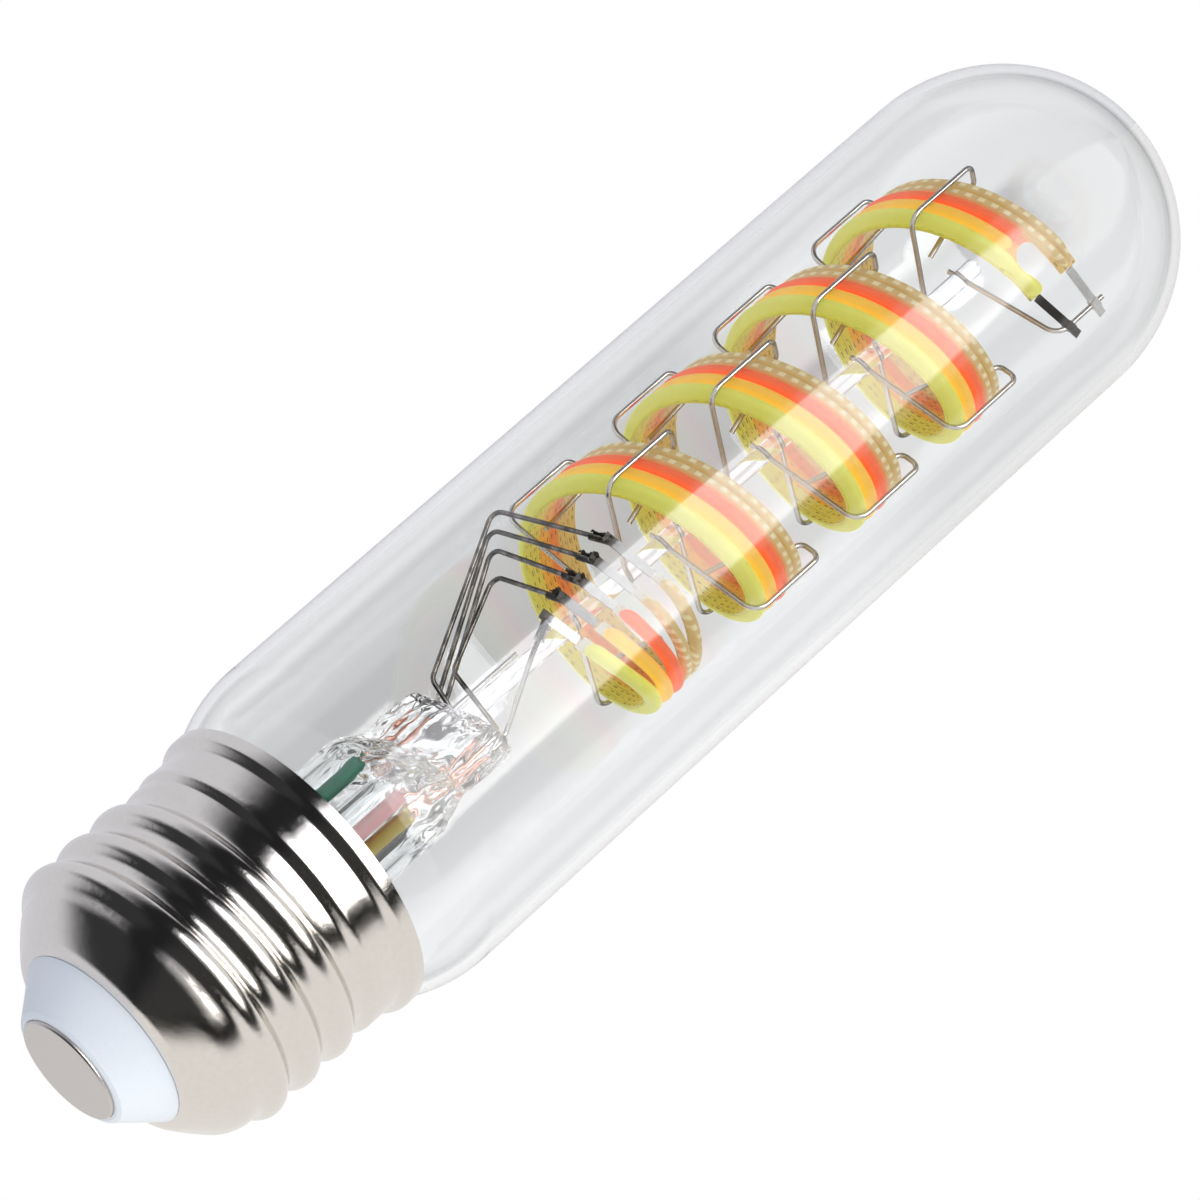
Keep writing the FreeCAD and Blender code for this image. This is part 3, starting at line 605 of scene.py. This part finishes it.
def stem_ring(height, inset, shrink=1.0, depth=1.0):
    half_width, half_thickness, squareness = stem_section(height)
    power = 2 / squareness
    strength = depth * FOLD_DEPTH * smooth_share((height - FOLD_START) / FOLD_RISE)
    ring = []
    for step in range(STEM_COLUMNS):
        turn_by = 2 * math.pi * step / STEM_COLUMNS
        cosine, sine = math.cos(turn_by), math.sin(turn_by)
        offset = (half_width - inset) * shrink * math.copysign(abs(cosine) ** power, cosine)
        aside_by = (half_thickness - inset) * shrink * math.copysign(abs(sine) ** power, sine)
        x_by = offset * math.sin(PRESS_TURN) + aside_by * math.cos(PRESS_TURN)
        y_by = -offset * math.cos(PRESS_TURN) + aside_by * math.sin(PRESS_TURN)
        pushed = strength * fold((x_by, y_by, height))
        reach_by = math.hypot(x_by, y_by) or 1.0
        scale = 1 - pushed / max(reach_by, NARROWEST)
        ring.append((x_by * scale, y_by * scale, height))
    return ring


def stem_heights(low, high, step):
    count = max(round((high - low) / step), 1)
    return [low + (high - low) * index / count for index in range(count + 1)]


outside = [stem_ring(height, 0.0) for height in stem_heights(STEM_RIM[0], FINE_FROM, 0.4)]
outside += [stem_ring(height, 0.0) for height in stem_heights(FINE_FROM, PRESS_TOP - TOP_EDGE, 0.16)[1:]]
for share in (0.25, 0.5, 0.75, 0.92, 1.0):
    edge_drop = 1 - math.sqrt(1 - share ** 2)
    outside.append(stem_ring(PRESS_TOP - TOP_EDGE + TOP_EDGE * share, TOP_INSET * edge_drop))
for share in (0.9, 0.75, 0.6, 0.45, 0.3, 0.15):
    outside.append([(x_by, y_by, PRESS_TOP - TOP_WAVE * abs(noise.noise(Vector((x_by, y_by, 3.0)))))
                    for x_by, y_by, height in stem_ring(PRESS_TOP, TOP_INSET, share)])
outside.append([(0.0, 0.0, PRESS_TOP)])
cavity_heights = stem_heights(STEM_RIM[0], CAVITY_TOP, 0.3)
inside = [stem_ring(height, STEM_WALL, depth=CAVITY_FOLDS) for height in cavity_heights]
inside += [stem_ring(CAVITY_TOP, STEM_WALL, share, CAVITY_FOLDS) for share in (0.8, 0.55, 0.3, 0.1)]
inside.append([(0.0, 0.0, CAVITY_TOP)])
stem = make_mesh("folded_stem", inside[::-1] + outside, glass)
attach(stem, "root")
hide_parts("glass_stem")
glass.wear(["exhaust_tube"])
print("stem faces:", len(stem.data.polygons))

# %% [markdown]
# The cap is a cup drawn from thin brass sheet, with a rolled thread and bright nickel on it. Nickel is a
# little warm, and the drawn sheet keeps a very fine grain, which roughens the edge of every reflection.

# %% Nickel cap
def nickel():
    metal = Finish("bright_nickel", Metallic=1.0)
    grain = metal.noise(scale=2.0, detail=5.0)
    metal.set("Base Color", metal.color(grain, (0.74, 0.71, 0.675), (0.80, 0.775, 0.74)))
    fine = metal.noise(scale=7.0, detail=5.0)
    metal.set("Roughness", 0.06 + fine * 0.08)
    metal.bump(metal.noise(scale=11.0, detail=4.0), distance=0.009)
    return metal


nickel().wear(["screw_shell"])


def contact_metal():
    metal = Finish("contact_metal", Metallic=1.0, Roughness=0.36)
    grain = metal.noise(scale=5.0, detail=5.0)
    metal.set("Base Color", metal.color(grain, (0.66, 0.63, 0.60), (0.74, 0.71, 0.68)))
    metal.bump(metal.noise(scale=20.0, detail=3.0), distance=0.004)
    return metal


contact_metal().wear(["centre_contact"])
print("metal on the cap")

# %% [markdown]
# The insulator between shell and contact is a smooth pale blue-grey moulding with a soft sheen.

# %% Insulator and cement
def insulator():
    stone = Finish("insulator_moulding", Roughness=0.34, Specular_IOR_Level=0.45)
    speck = stone.noise(scale=4.0, detail=4.0)
    stone.set("Base Color", stone.color(speck, (0.66, 0.72, 0.79), (0.71, 0.77, 0.83)))
    stone.bump(stone.noise(scale=30.0, detail=2.0), distance=0.002)
    return stone


def cement():
    paste = Finish("basing_cement", Roughness=0.85)
    speck = paste.noise(scale=3.0, detail=6.0)
    paste.set("Base Color", paste.color(speck, (0.55, 0.50, 0.42), (0.70, 0.66, 0.58)))
    paste.bump(speck, distance=0.05)
    return paste


insulator().wear(["insulator"])
cement().wear(["basing_cement"])
print("insulator and cement")

# %% [markdown]
# Hooks are bright drawn wire, and the wires sealed in the press are clad with copper, because copper oxide
# bonds to glass. Most leads carry a painted dark reflection: a near black base colour in patches, standing in
# for the dark surroundings that the polished wire mirrors.

# %% Wires
# Bearings, edge and noise patches of the leads' painted dark reflection.
DARK_REFLECTION_BEARINGS = (-130.0, -1.0)
DARK_REFLECTION_EDGE = 4.0
DARK_REFLECTION_PATCHES = (0.42, 0.62)
SHEET_GREYS = (0.28, 0.48)
CRIMP_COLOR = (0.07, 0.065, 0.06)


def wire(name, dark, bright, roughness):
    metal = Finish(name, Metallic=1.0)
    streak = metal.noise(scale=3.0, detail=4.0)
    metal.set("Base Color", metal.color(streak, dark, bright))
    metal.set("Roughness", roughness + streak * 0.12)
    return metal


hook_names = [name for name in nodes if name.startswith("hooks_")] + ["common_end_wire"]
lead_names = [name for name in nodes if name.startswith("lead_")]
seal_names = [name for name in nodes if name.startswith("seal_wire_")]
wire("hook_wire", (0.50, 0.47, 0.43), (0.66, 0.63, 0.59), 0.14).wear(hook_names)
wire("copper_clad_wire", (0.72, 0.34, 0.26), (0.86, 0.50, 0.40), 0.25).wear(seal_names)
cap_wire_names = ["contact_lead", "shell_lead", "fuse_lead"]
wire("hook_up_wire", (0.60, 0.33, 0.22), (0.75, 0.48, 0.35), 0.3).wear(cap_wire_names)


def bearing_of(finish):
    """Degrees round the axis from the front."""
    x, y = finish.split(finish.place())[:2]
    return x.math("ARCTAN2", y * -1.0) * math.degrees(1.0)


def lead_metal():
    metal = Finish("lead_wire", Metallic=1.0)
    streak = metal.noise(scale=0.9, detail=3.0)
    # Painted dark reflection: a near black base colour on the leads at these bearings.
    painted_dark_share = between(bearing_of(metal), *DARK_REFLECTION_BEARINGS, DARK_REFLECTION_EDGE)
    plain_wire = metal.color(streak, (0.46, 0.45, 0.44), (0.62, 0.60, 0.58))
    patches = smooth_step(streak, *DARK_REFLECTION_PATCHES)
    painted_dark_reflection = metal.color(patches, (0.11, 0.105, 0.10), (0.24, 0.225, 0.21))
    metal.set("Base Color", metal.color(painted_dark_share, plain_wire, painted_dark_reflection))
    metal.set("Roughness", 0.14 + streak * 0.14)
    return metal


def tab_sheet(name, crimp_angle, painted_light_level=1.0, metallic=1.0):
    """Grey sheet as far as the crimp and dark from there on. The grey is scaled per tab by a painted light
    level.
    """
    metal = Finish(name, Metallic=metallic)
    streak = metal.noise(scale=3.0, detail=4.0)
    crimped = 1.0 - smooth_step(bearing_of(metal), crimp_angle - 1.0, crimp_angle + 1.0)
    bright = metal.color(streak, *((grey * painted_light_level,) * 3 for grey in SHEET_GREYS))
    metal.set("Base Color", metal.color(crimped, bright, CRIMP_COLOR))
    metal.set("Roughness", 0.30 + streak * 0.2)
    metal.bump(streak, distance=0.05)
    return metal


lead_metal().wear(lead_names)
# The lime end tab takes the dark crimp colour all over. The white end tab carries a painted highlight: its
# grey is raised 1.8 times, with less metal in it.
tab_sheet("dark_end_tab", 180.0).wear(["end_tab_lime"])
tab_sheet("bright_end_tab", -180.0, 1.8, 0.4).wear(["end_tab_white"])
print("wires:", len(hook_names) + len(lead_names) + len(seal_names))

# %% [markdown]
# Each lead ends in a tab of thin sheet. One end of the tab is rolled round the wire and squeezed, which
# leaves a sleeve that is open towards the front, with torn edges. The other end is a flat blade that reaches
# the ribbon. Both are built as open grids of points and then given their thickness, just as sheet is.

# %% Start tabs
TABS = (
    ("lime", (-1.8, 6.2, -2.0), -10.0),
    ("amber", (-81.9, 7.07, 0.4), -11.0),
    ("red", (-88.0, 8.8, 0.0), -12.0),
    ("cool_white", (-95.1, 10.14, -0.6), -15.0),
    ("warm_white", (-92.1, 11.1, -1.7), -18.0))
# Painted light on the tab sheet: one metal, drawn lighter on the lime tab and darker on the amber and the
# other tabs.
TAB_PAINTED_LIGHT = {"lime": 1.6, "amber": 0.45}
OTHER_PAINTED_LIGHT = 0.75
CRIMP_LEVEL = 51.6
CRIMP_SPACING = 2.2
CRIMP_RADIUS = 9.0
CRIMP_LENGTH = 2.1
CRIMP_STATIONS = 15
CRIMP_COLUMNS = 15
SLEEVE_RADIUS = 0.36
SLEEVE_REACH = 155.0
SLEEVE_FLATNESS = 0.85
TORN_EDGE = 0.42
SHEET_THICKNESS = 0.1
TONGUE_START = 10.0
TONGUE_RADIUS = 8.55
TONGUE_ABOVE_CRIMP = 0.9
BLADE_HALF_WIDTH = 0.44
BLADE_GAP = 0.18
BLADE_OVERLAP = 0.7
BLADE_TAPER = 0.12
BLADE_BOW = 0.05
BLADE_ROWS = 12
BLADE_COLUMNS = 4


def around(angle, radius, height):
    """A point at a bearing from the front, a radius and a height."""
    turn_by = math.radians(angle)
    return Vector((radius * math.sin(turn_by), -radius * math.cos(turn_by), height))


def sheet_faces(columns, rows, first):
    """The faces of a grid of points, whose numbers start at first."""
    faces = []
    for row in range(rows - 1):
        for column in range(columns - 1):
            corner = first + row * columns + column
            faces.append((corner, corner + 1, corner + columns + 1, corner + columns))
    return faces


def start_tab(index, name, shoulder, crimp_angle):
    far = around(crimp_angle, CRIMP_RADIUS, CRIMP_LEVEL + CRIMP_SPACING * index)
    corner = around(shoulder[0], shoulder[1], far.z + shoulder[2])
    back = (corner - far).normalized()
    outward = around((crimp_angle + TONGUE_START) / 2, 1.0, 0.0)
    outward = (outward - back * outward.dot(back)).normalized()
    side_by = back.cross(outward)
    points = []
    for station in range(CRIMP_STATIONS):
        share = station / (CRIMP_STATIONS - 1)
        centre = far + back * CRIMP_LENGTH * share
        for column in range(CRIMP_COLUMNS):
            turn_by = math.radians(-SLEEVE_REACH + 2 * SLEEVE_REACH * column / (CRIMP_COLUMNS - 1))
            flare = smooth_share((abs(turn_by) - 1.7) / 1.0)
            edge = Vector((share * 7.0, index * 5.0 + math.copysign(3.0, turn_by), 0.0))
            torn = abs(noise.noise(edge)) * 2.0
            radius = SLEEVE_RADIUS + TORN_EDGE * flare * torn
            inward_by = -math.cos(turn_by) * radius * SLEEVE_FLATNESS
            points.append(centre + outward * inward_by + side_by * math.sin(turn_by) * radius)
    faces = sheet_faces(CRIMP_COLUMNS, CRIMP_STATIONS, 0)
    tongue = around(TONGUE_START, TONGUE_RADIUS, far.z + TONGUE_ABOVE_CRIMP)
    reach = (tongue - far).normalized()
    face_out = around((crimp_angle + TONGUE_START) / 2, 1.0, 0.0)
    width_by = reach.cross(face_out).normalized()
    first = len(points)
    foot = far - reach * BLADE_OVERLAP
    length = (tongue - reach * BLADE_GAP - foot).length
    for row in range(BLADE_ROWS):
        share = row / (BLADE_ROWS - 1)
        taper = 1.0 - BLADE_TAPER * smooth_share(share * 1.2 - 0.2)
        bow = BLADE_BOW * noise.noise(Vector((share * 4.0, index * 3.0, 1.0)))
        for column in range(BLADE_COLUMNS):
            aside_by = (column * 2 / (BLADE_COLUMNS - 1) - 1.0) * BLADE_HALF_WIDTH * taper
            points.append(foot + reach * length * share + width_by * aside_by + face_out * bow)
    faces += sheet_faces(BLADE_COLUMNS, BLADE_ROWS, first)
    # The tab's grey is scaled by its painted light level, which is lighter on lime and darker on amber and
    # the rest.
    painted_light_level = TAB_PAINTED_LIGHT.get(name, OTHER_PAINTED_LIGHT)
    finish = tab_sheet(name + "_tab_sheet", crimp_angle + 2.0, painted_light_level)
    tab = new_piece(name + "_tab", [point * MM for point in points], faces, finish, False)
    wall = tab.modifiers.new("wall", "SOLIDIFY")
    wall.thickness = SHEET_THICKNESS * MM
    wall.offset = 0.0
    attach(tab, "root")
    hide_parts("start_tab_" + name)


for index, (name, shoulder, crimp_angle) in enumerate(TABS):
    start_tab(index, name, shoulder, crimp_angle)
print("start tabs:", len(TABS))

# %% [markdown]
# Each strand is a row of tiny chips under a bead of coloured silicone. Silicone lets light in and scatters
# it, so it has some subsurface colour and a soft sheen. The beads also carry a painted glow, a faint emission
# in their own colour that makes them look brighter than paint. A slow change of tone along the bead and a
# very fine unevenness break up the colour.

# %% Silicone beads
# Strength of the painted glow on the beads, the strip and the gum.
PAINTED_GLOW = 0.38
GUM_DEPTH = 0.4
GUM_RED_GREEN_BLUE = (1.0, 0.6, 0.3)
STRAND_COLORS = {
    "lime": ((0.68, 0.68, 0.11), (0.75, 0.74, 0.17)),
    "amber": ((0.91, 0.50, 0.065), (0.94, 0.58, 0.10)),
    "red": ((0.88, 0.14, 0.055), (0.93, 0.19, 0.08)),
}


def silicone(name, deep, pale):
    # The emission here is a painted glow in the bead's own colour.
    gum = Finish(name + "_silicone", Roughness=0.42, Subsurface_Weight=0.2, Subsurface_Scale=GUM_DEPTH * MM,
                 Emission_Strength=PAINTED_GLOW)
    gum.shader.inputs["Subsurface Radius"].default_value = GUM_RED_GREEN_BLUE
    tinted = gum.color(gum.noise(scale=1.2, detail=3.0), deep, pale)
    gum.set("Base Color", tinted)
    gum.set("Emission Color", tinted)
    gum.bump(gum.noise(scale=9.0, detail=2.0), distance=0.01)
    return gum


silicones = {name: silicone(name, *tones) for name, tones in STRAND_COLORS.items()}
print("bead colours:", len(STRAND_COLORS))

# %% [markdown]
# The strip itself is a thin amber film with printed traces, and the two white rows are flat bars of tan
# phosphor gum over pale square chips. Both patterns follow the coil: the bearing round the axis and the
# height give the distance along the strip and the place across it.

# %% Strip and white rows
COIL_HEIGHT = 56.1
COIL_PITCH = 12.4095
COIL_LEAN = 0.71
COIL_LEAN_ANGLE = math.radians(51.8)
STRIP_RADIUS = 8.55
TONGUE_BARE = 15.5
STRIP_WIDTH = 6.0
STRIP_TINTS = (
    (0.05, (0.60, 0.56, 0.10)), (0.26, (0.62, 0.52, 0.08)), (0.30, (0.72, 0.36, 0.05)),
    (0.46, (0.72, 0.34, 0.05)), (0.50, (0.70, 0.19, 0.05)), (0.64, (0.68, 0.24, 0.07)),
    (0.68, (0.60, 0.42, 0.14)), (0.95, (0.62, 0.45, 0.16)))
PAD_SPACING = 0.92
TRACE_SPACING = 0.50
TRACE_PHASE = 0.2
INK = (0.13, 0.08, 0.03)
BARE_FILM = (0.50, 0.48, 0.42)
CHIP_SPACING = 1.12
ROW_SPACING = 0.94
ROW_PHASE = 0.904
CHIP_SHOWS = 0.7
CHIP_COLOR = (0.86, 0.80, 0.54)
GUM_ABOVE_STRIP = 0.8
# Share of the painted glow that the white rows' gum gets.
GUM_PAINTED_GLOW = 0.8


def coil_place(finish, radius):
    """Millimetres along the strip and across it, and the unwound angle in degrees."""
    x, y, z = finish.split(finish.place())
    turns = x.math("ARCTAN2", y * -1.0) / (2 * math.pi)
    lean = (x * math.sin(COIL_LEAN_ANGLE) - y * math.cos(COIL_LEAN_ANGLE)) * (COIL_LEAN / radius)
    climbed = (z - COIL_HEIGHT - lean) / COIL_PITCH - turns
    whole = (climbed + 0.5).math("FLOOR")
    across = (climbed - whole) * COIL_PITCH
    wound = turns + whole
    return wound * (2 * math.pi * radius), across, wound * 360.0


def strip_film():
    film = Finish("strip_film", Roughness=0.35, Subsurface_Weight=0.15, Subsurface_Scale=GUM_DEPTH * MM,
                  Emission_Strength=PAINTED_GLOW)
    along, across, angle = coil_place(film, STRIP_RADIUS)
    tints = film.add("ShaderNodeValToRGB", {"stops": STRIP_TINTS}, {0: across / STRIP_WIDTH + 0.5}).out()
    cell = (along / PAD_SPACING).math("FRACT")
    row = (across / TRACE_SPACING + TRACE_PHASE).math("FRACT")
    worn = smooth_step(film.noise(scale=1.6, detail=3.0), 0.40, 0.52)
    pad = between(cell, 0.12, 0.66, 0.05) * between(row, 0.38, 0.60, 0.06) * worn
    trace = between(row, 0.82, 0.92, 0.03) * smooth_step(film.noise(scale=0.8, detail=2.0), 0.44, 0.54)
    marks = (pad * 0.8).math("MAXIMUM", trace * 0.55)
    printed = film.color(marks, tints, INK)
    bare = 1.0 - smooth_step(angle, TONGUE_BARE - 1.0, TONGUE_BARE + 1.0)
    tinted = film.color(bare, printed, BARE_FILM)
    film.set("Base Color", tinted)
    # The film's colour is also its emission: a painted glow.
    film.set("Emission Color", tinted)
    return film


def phosphor_gum():
    gum = Finish("phosphor_gum", Roughness=0.38, Subsurface_Weight=0.2, Subsurface_Scale=GUM_DEPTH * MM,
                 Emission_Strength=PAINTED_GLOW * GUM_PAINTED_GLOW)
    along, across, angle = coil_place(gum, STRIP_RADIUS + GUM_ABOVE_STRIP)
    cell = (along / CHIP_SPACING).math("FRACT")
    row = (across / ROW_SPACING + ROW_PHASE).math("FRACT")
    chip = between(cell, 0.27, 0.73, 0.07) * between(row, 0.28, 0.72, 0.09)
    tone = gum.noise(scale=1.4, detail=3.0)
    body = gum.color(tone, (0.60, 0.44, 0.18), (0.68, 0.51, 0.24))
    tinted = gum.color(chip * CHIP_SHOWS, body, CHIP_COLOR)
    gum.set("Base Color", tinted)
    # The gum's colour is also its emission: a painted glow.
    gum.set("Emission Color", tinted)
    gum.bump(chip, distance=0.03)
    return gum


strip_film().wear(["filament_strip"])
gum_finish = phosphor_gum()
silicones["cool_white"] = gum_finish
silicones["warm_white"] = gum_finish
print("strip film and phosphor gum on the ribbon")

# %% [markdown]
# The gum is laid on as a liquid, so a bead is never quite even, and surface tension rounds its ends. Each
# bead is swept along the coil with small changes of width. Near the ribbon's end the lime bead thins where
# its tongue is cut free and then swells to a drop, and the two white rows draw together to a narrower tip.

# %% Poured beads
ROWS = (
    ("lime", 1.45, 1.15, 14.0, 1475.0, 2.0),
    ("amber", 1.30, 1.12, 14.0, 1445.0, 2.0),
    ("red", 1.20, 1.10, 12.0, 1445.0, 2.0),
    ("cool_white", 0.94, 0.85, 16.0, 1474.0, 3.2),
    ("warm_white", 0.94, 0.85, 14.0, 1474.0, 3.2))
STRIP_MARGIN = 0.08
BEAD_BASE = 8.66
BEAD_GAP = 0.04
BEAD_STEP = 2.5
END_ARC = 5.5
ARCH_STEPS = 14
TONGUE_SPLAY = 79.0
TONGUE_LEVEL = 52.5
TONGUE_SPACING = 2.2
END_SHARES = (0.01, 0.06, 0.15, 0.28, 0.45, 0.7)
END_RISE = 0.1
UNEVEN = 0.035
NECK = (1456.0, 8.0, 0.58)
DROP = (1468.5, 7.0, 0.16)
NECK_LOW = 0.6
SLIGHT_NECK = (1434.0, 6.0, 0.10)
DRAWN_FROM = 1458.0
DRAWN_OVER = 12.0
DRAWN_WIDTH = 0.35
DRAWN_SHIFT = 0.20


def ribbon_level(angle):
    lean = COIL_LEAN * math.cos(math.radians(angle) - COIL_LEAN_ANGLE)
    return COIL_HEIGHT + COIL_PITCH * angle / 360.0 + lean


def row_offset(index):
    below = sum(row[1] for row in ROWS[:index])
    width = sum(row[1] for row in ROWS) + 2 * STRIP_MARGIN
    return STRIP_MARGIN + below + ROWS[index][1] / 2 - width / 2


def row_level(index, angle):
    """Height of a row's middle, with its tongue splayed towards its tab at the start."""
    settled = ribbon_level(angle) + row_offset(index)
    splay = TONGUE_LEVEL + TONGUE_SPACING * index - ribbon_level(TONGUE_START) - row_offset(index)
    return settled + splay * (1.0 - smooth_share((angle - TONGUE_START) / TONGUE_SPLAY))


def hump(angle, middle_angle, reach_angle, size):
    """A smooth rise to a size at one angle, and back to nothing."""
    return size * smooth_share(1.0 - abs(angle - middle_angle) / reach_angle)


def bead_shape(index, name, angle):
    """Width and height as shares of the full size, and a shift across the strip in millimetres."""
    wobble = 1.0 + UNEVEN * noise.noise(Vector((angle * 0.035, index * 9.0, 0.0)))
    width, height, shift = wobble, wobble, 0.0
    if name == "lime":
        thin = hump(angle, *NECK)
        swell = hump(angle, *DROP)
        width *= 1.0 - thin + swell
        height *= 1.0 - NECK_LOW * thin + swell
    elif name in ("amber", "red"):
        width *= 1.0 - hump(angle, *SLIGHT_NECK)
    else:
        drawn = smooth_share((angle - DRAWN_FROM) / DRAWN_OVER)
        width *= 1.0 - DRAWN_WIDTH * drawn
        shift = (DRAWN_SHIFT if name == "cool_white" else -DRAWN_SHIFT) * drawn
    return width, height, shift


def poured_bead(index, name, pitch, height, first, last, squareness):
    half_width = (pitch - BEAD_GAP) / 2
    power = 2 / squareness
    middle_arc = last - first - 2 * END_ARC
    count = round(middle_arc / BEAD_STEP)
    angles = [first + END_ARC * share for share in END_SHARES]
    angles += [first + END_ARC + middle_arc * step / count for step in range(count + 1)]
    angles += [last - END_ARC * share for share in reversed(END_SHARES)]
    rings = [[around(first, BEAD_BASE + END_RISE, row_level(index, first))]]
    for angle in angles:
        inside_by = min((angle - first) / END_ARC, (last - angle) / END_ARC, 1.0)
        round_by = math.sqrt(1.0 - (1.0 - inside_by) ** 2)
        width, rise, shift = bead_shape(index, name, angle)
        level_here = row_level(index, angle) + shift
        ring = []
        for step in range(ARCH_STEPS + 1):
            turn_by = math.pi * step / ARCH_STEPS
            across_by = math.copysign(abs(math.cos(turn_by)) ** power, math.cos(turn_by))
            up_by = height * rise * round_by * abs(math.sin(turn_by)) ** power
            level_by = half_width * width * round_by * across_by
            ring.append(around(angle, BEAD_BASE + up_by, level_here + level_by))
        for share in (-0.5, 0.0, 0.5):
            ring.append(around(angle, BEAD_BASE, level_here + half_width * width * round_by * share))
        rings.append(ring)
    rings.append([around(last, BEAD_BASE + END_RISE, row_level(index, last))])
    bead = make_mesh(name + "_bead", rings, silicones[name])
    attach(bead, "root")
    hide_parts("bead_" + name)
    return len(bead.data.polygons)


faces_of = [poured_bead(index, *row) for index, row in enumerate(ROWS)]
print("poured beads, faces:", faces_of)

# %% [markdown]
# The sleeved wires come up from the driver board, which sits out of sight in the cap. Each has its own
# insulation colour. The board and its parts get plain honest finishes of their own.

# %% Sleeves and driver
SLEEVES = {
    "black": (0.02, 0.02, 0.022), "green": (0.01, 0.40, 0.22), "red": (0.85, 0.03, 0.08),
    "yellow": (0.95, 0.70, 0.03), "white": (0.80, 0.80, 0.78),
}


def coated(name, color, roughness, scale=5.0, depth=0.01):
    coat = Finish(name, Roughness=roughness)
    tone = coat.noise(scale, detail=3.0)
    darker = tuple(channel * 0.82 for channel in color)
    coat.set("Base Color", coat.color(tone, darker, color))
    coat.bump(tone, depth)
    return coat


for name, color in SLEEVES.items():
    coated(name + "_insulation", color, 0.4).wear(["sleeve_" + name])
coated("board_laminate", (0.03, 0.22, 0.10), 0.45).wear(["driver_board"])
coated("black_epoxy", (0.03, 0.03, 0.035), 0.4, 20.0).wear(["control_chip", "bridge_rectifier"])
coated("fuse_coat", (0.16, 0.42, 0.30), 0.4).wear(["fuse_resistor"])
coated("choke_tube", (0.02, 0.02, 0.02), 0.5).wear(["filter_choke"])
wire("capacitor_can", (0.60, 0.60, 0.62), (0.72, 0.72, 0.74), 0.28).wear(["smoothing_capacitor"])
print("sleeves:", len(SLEEVES))
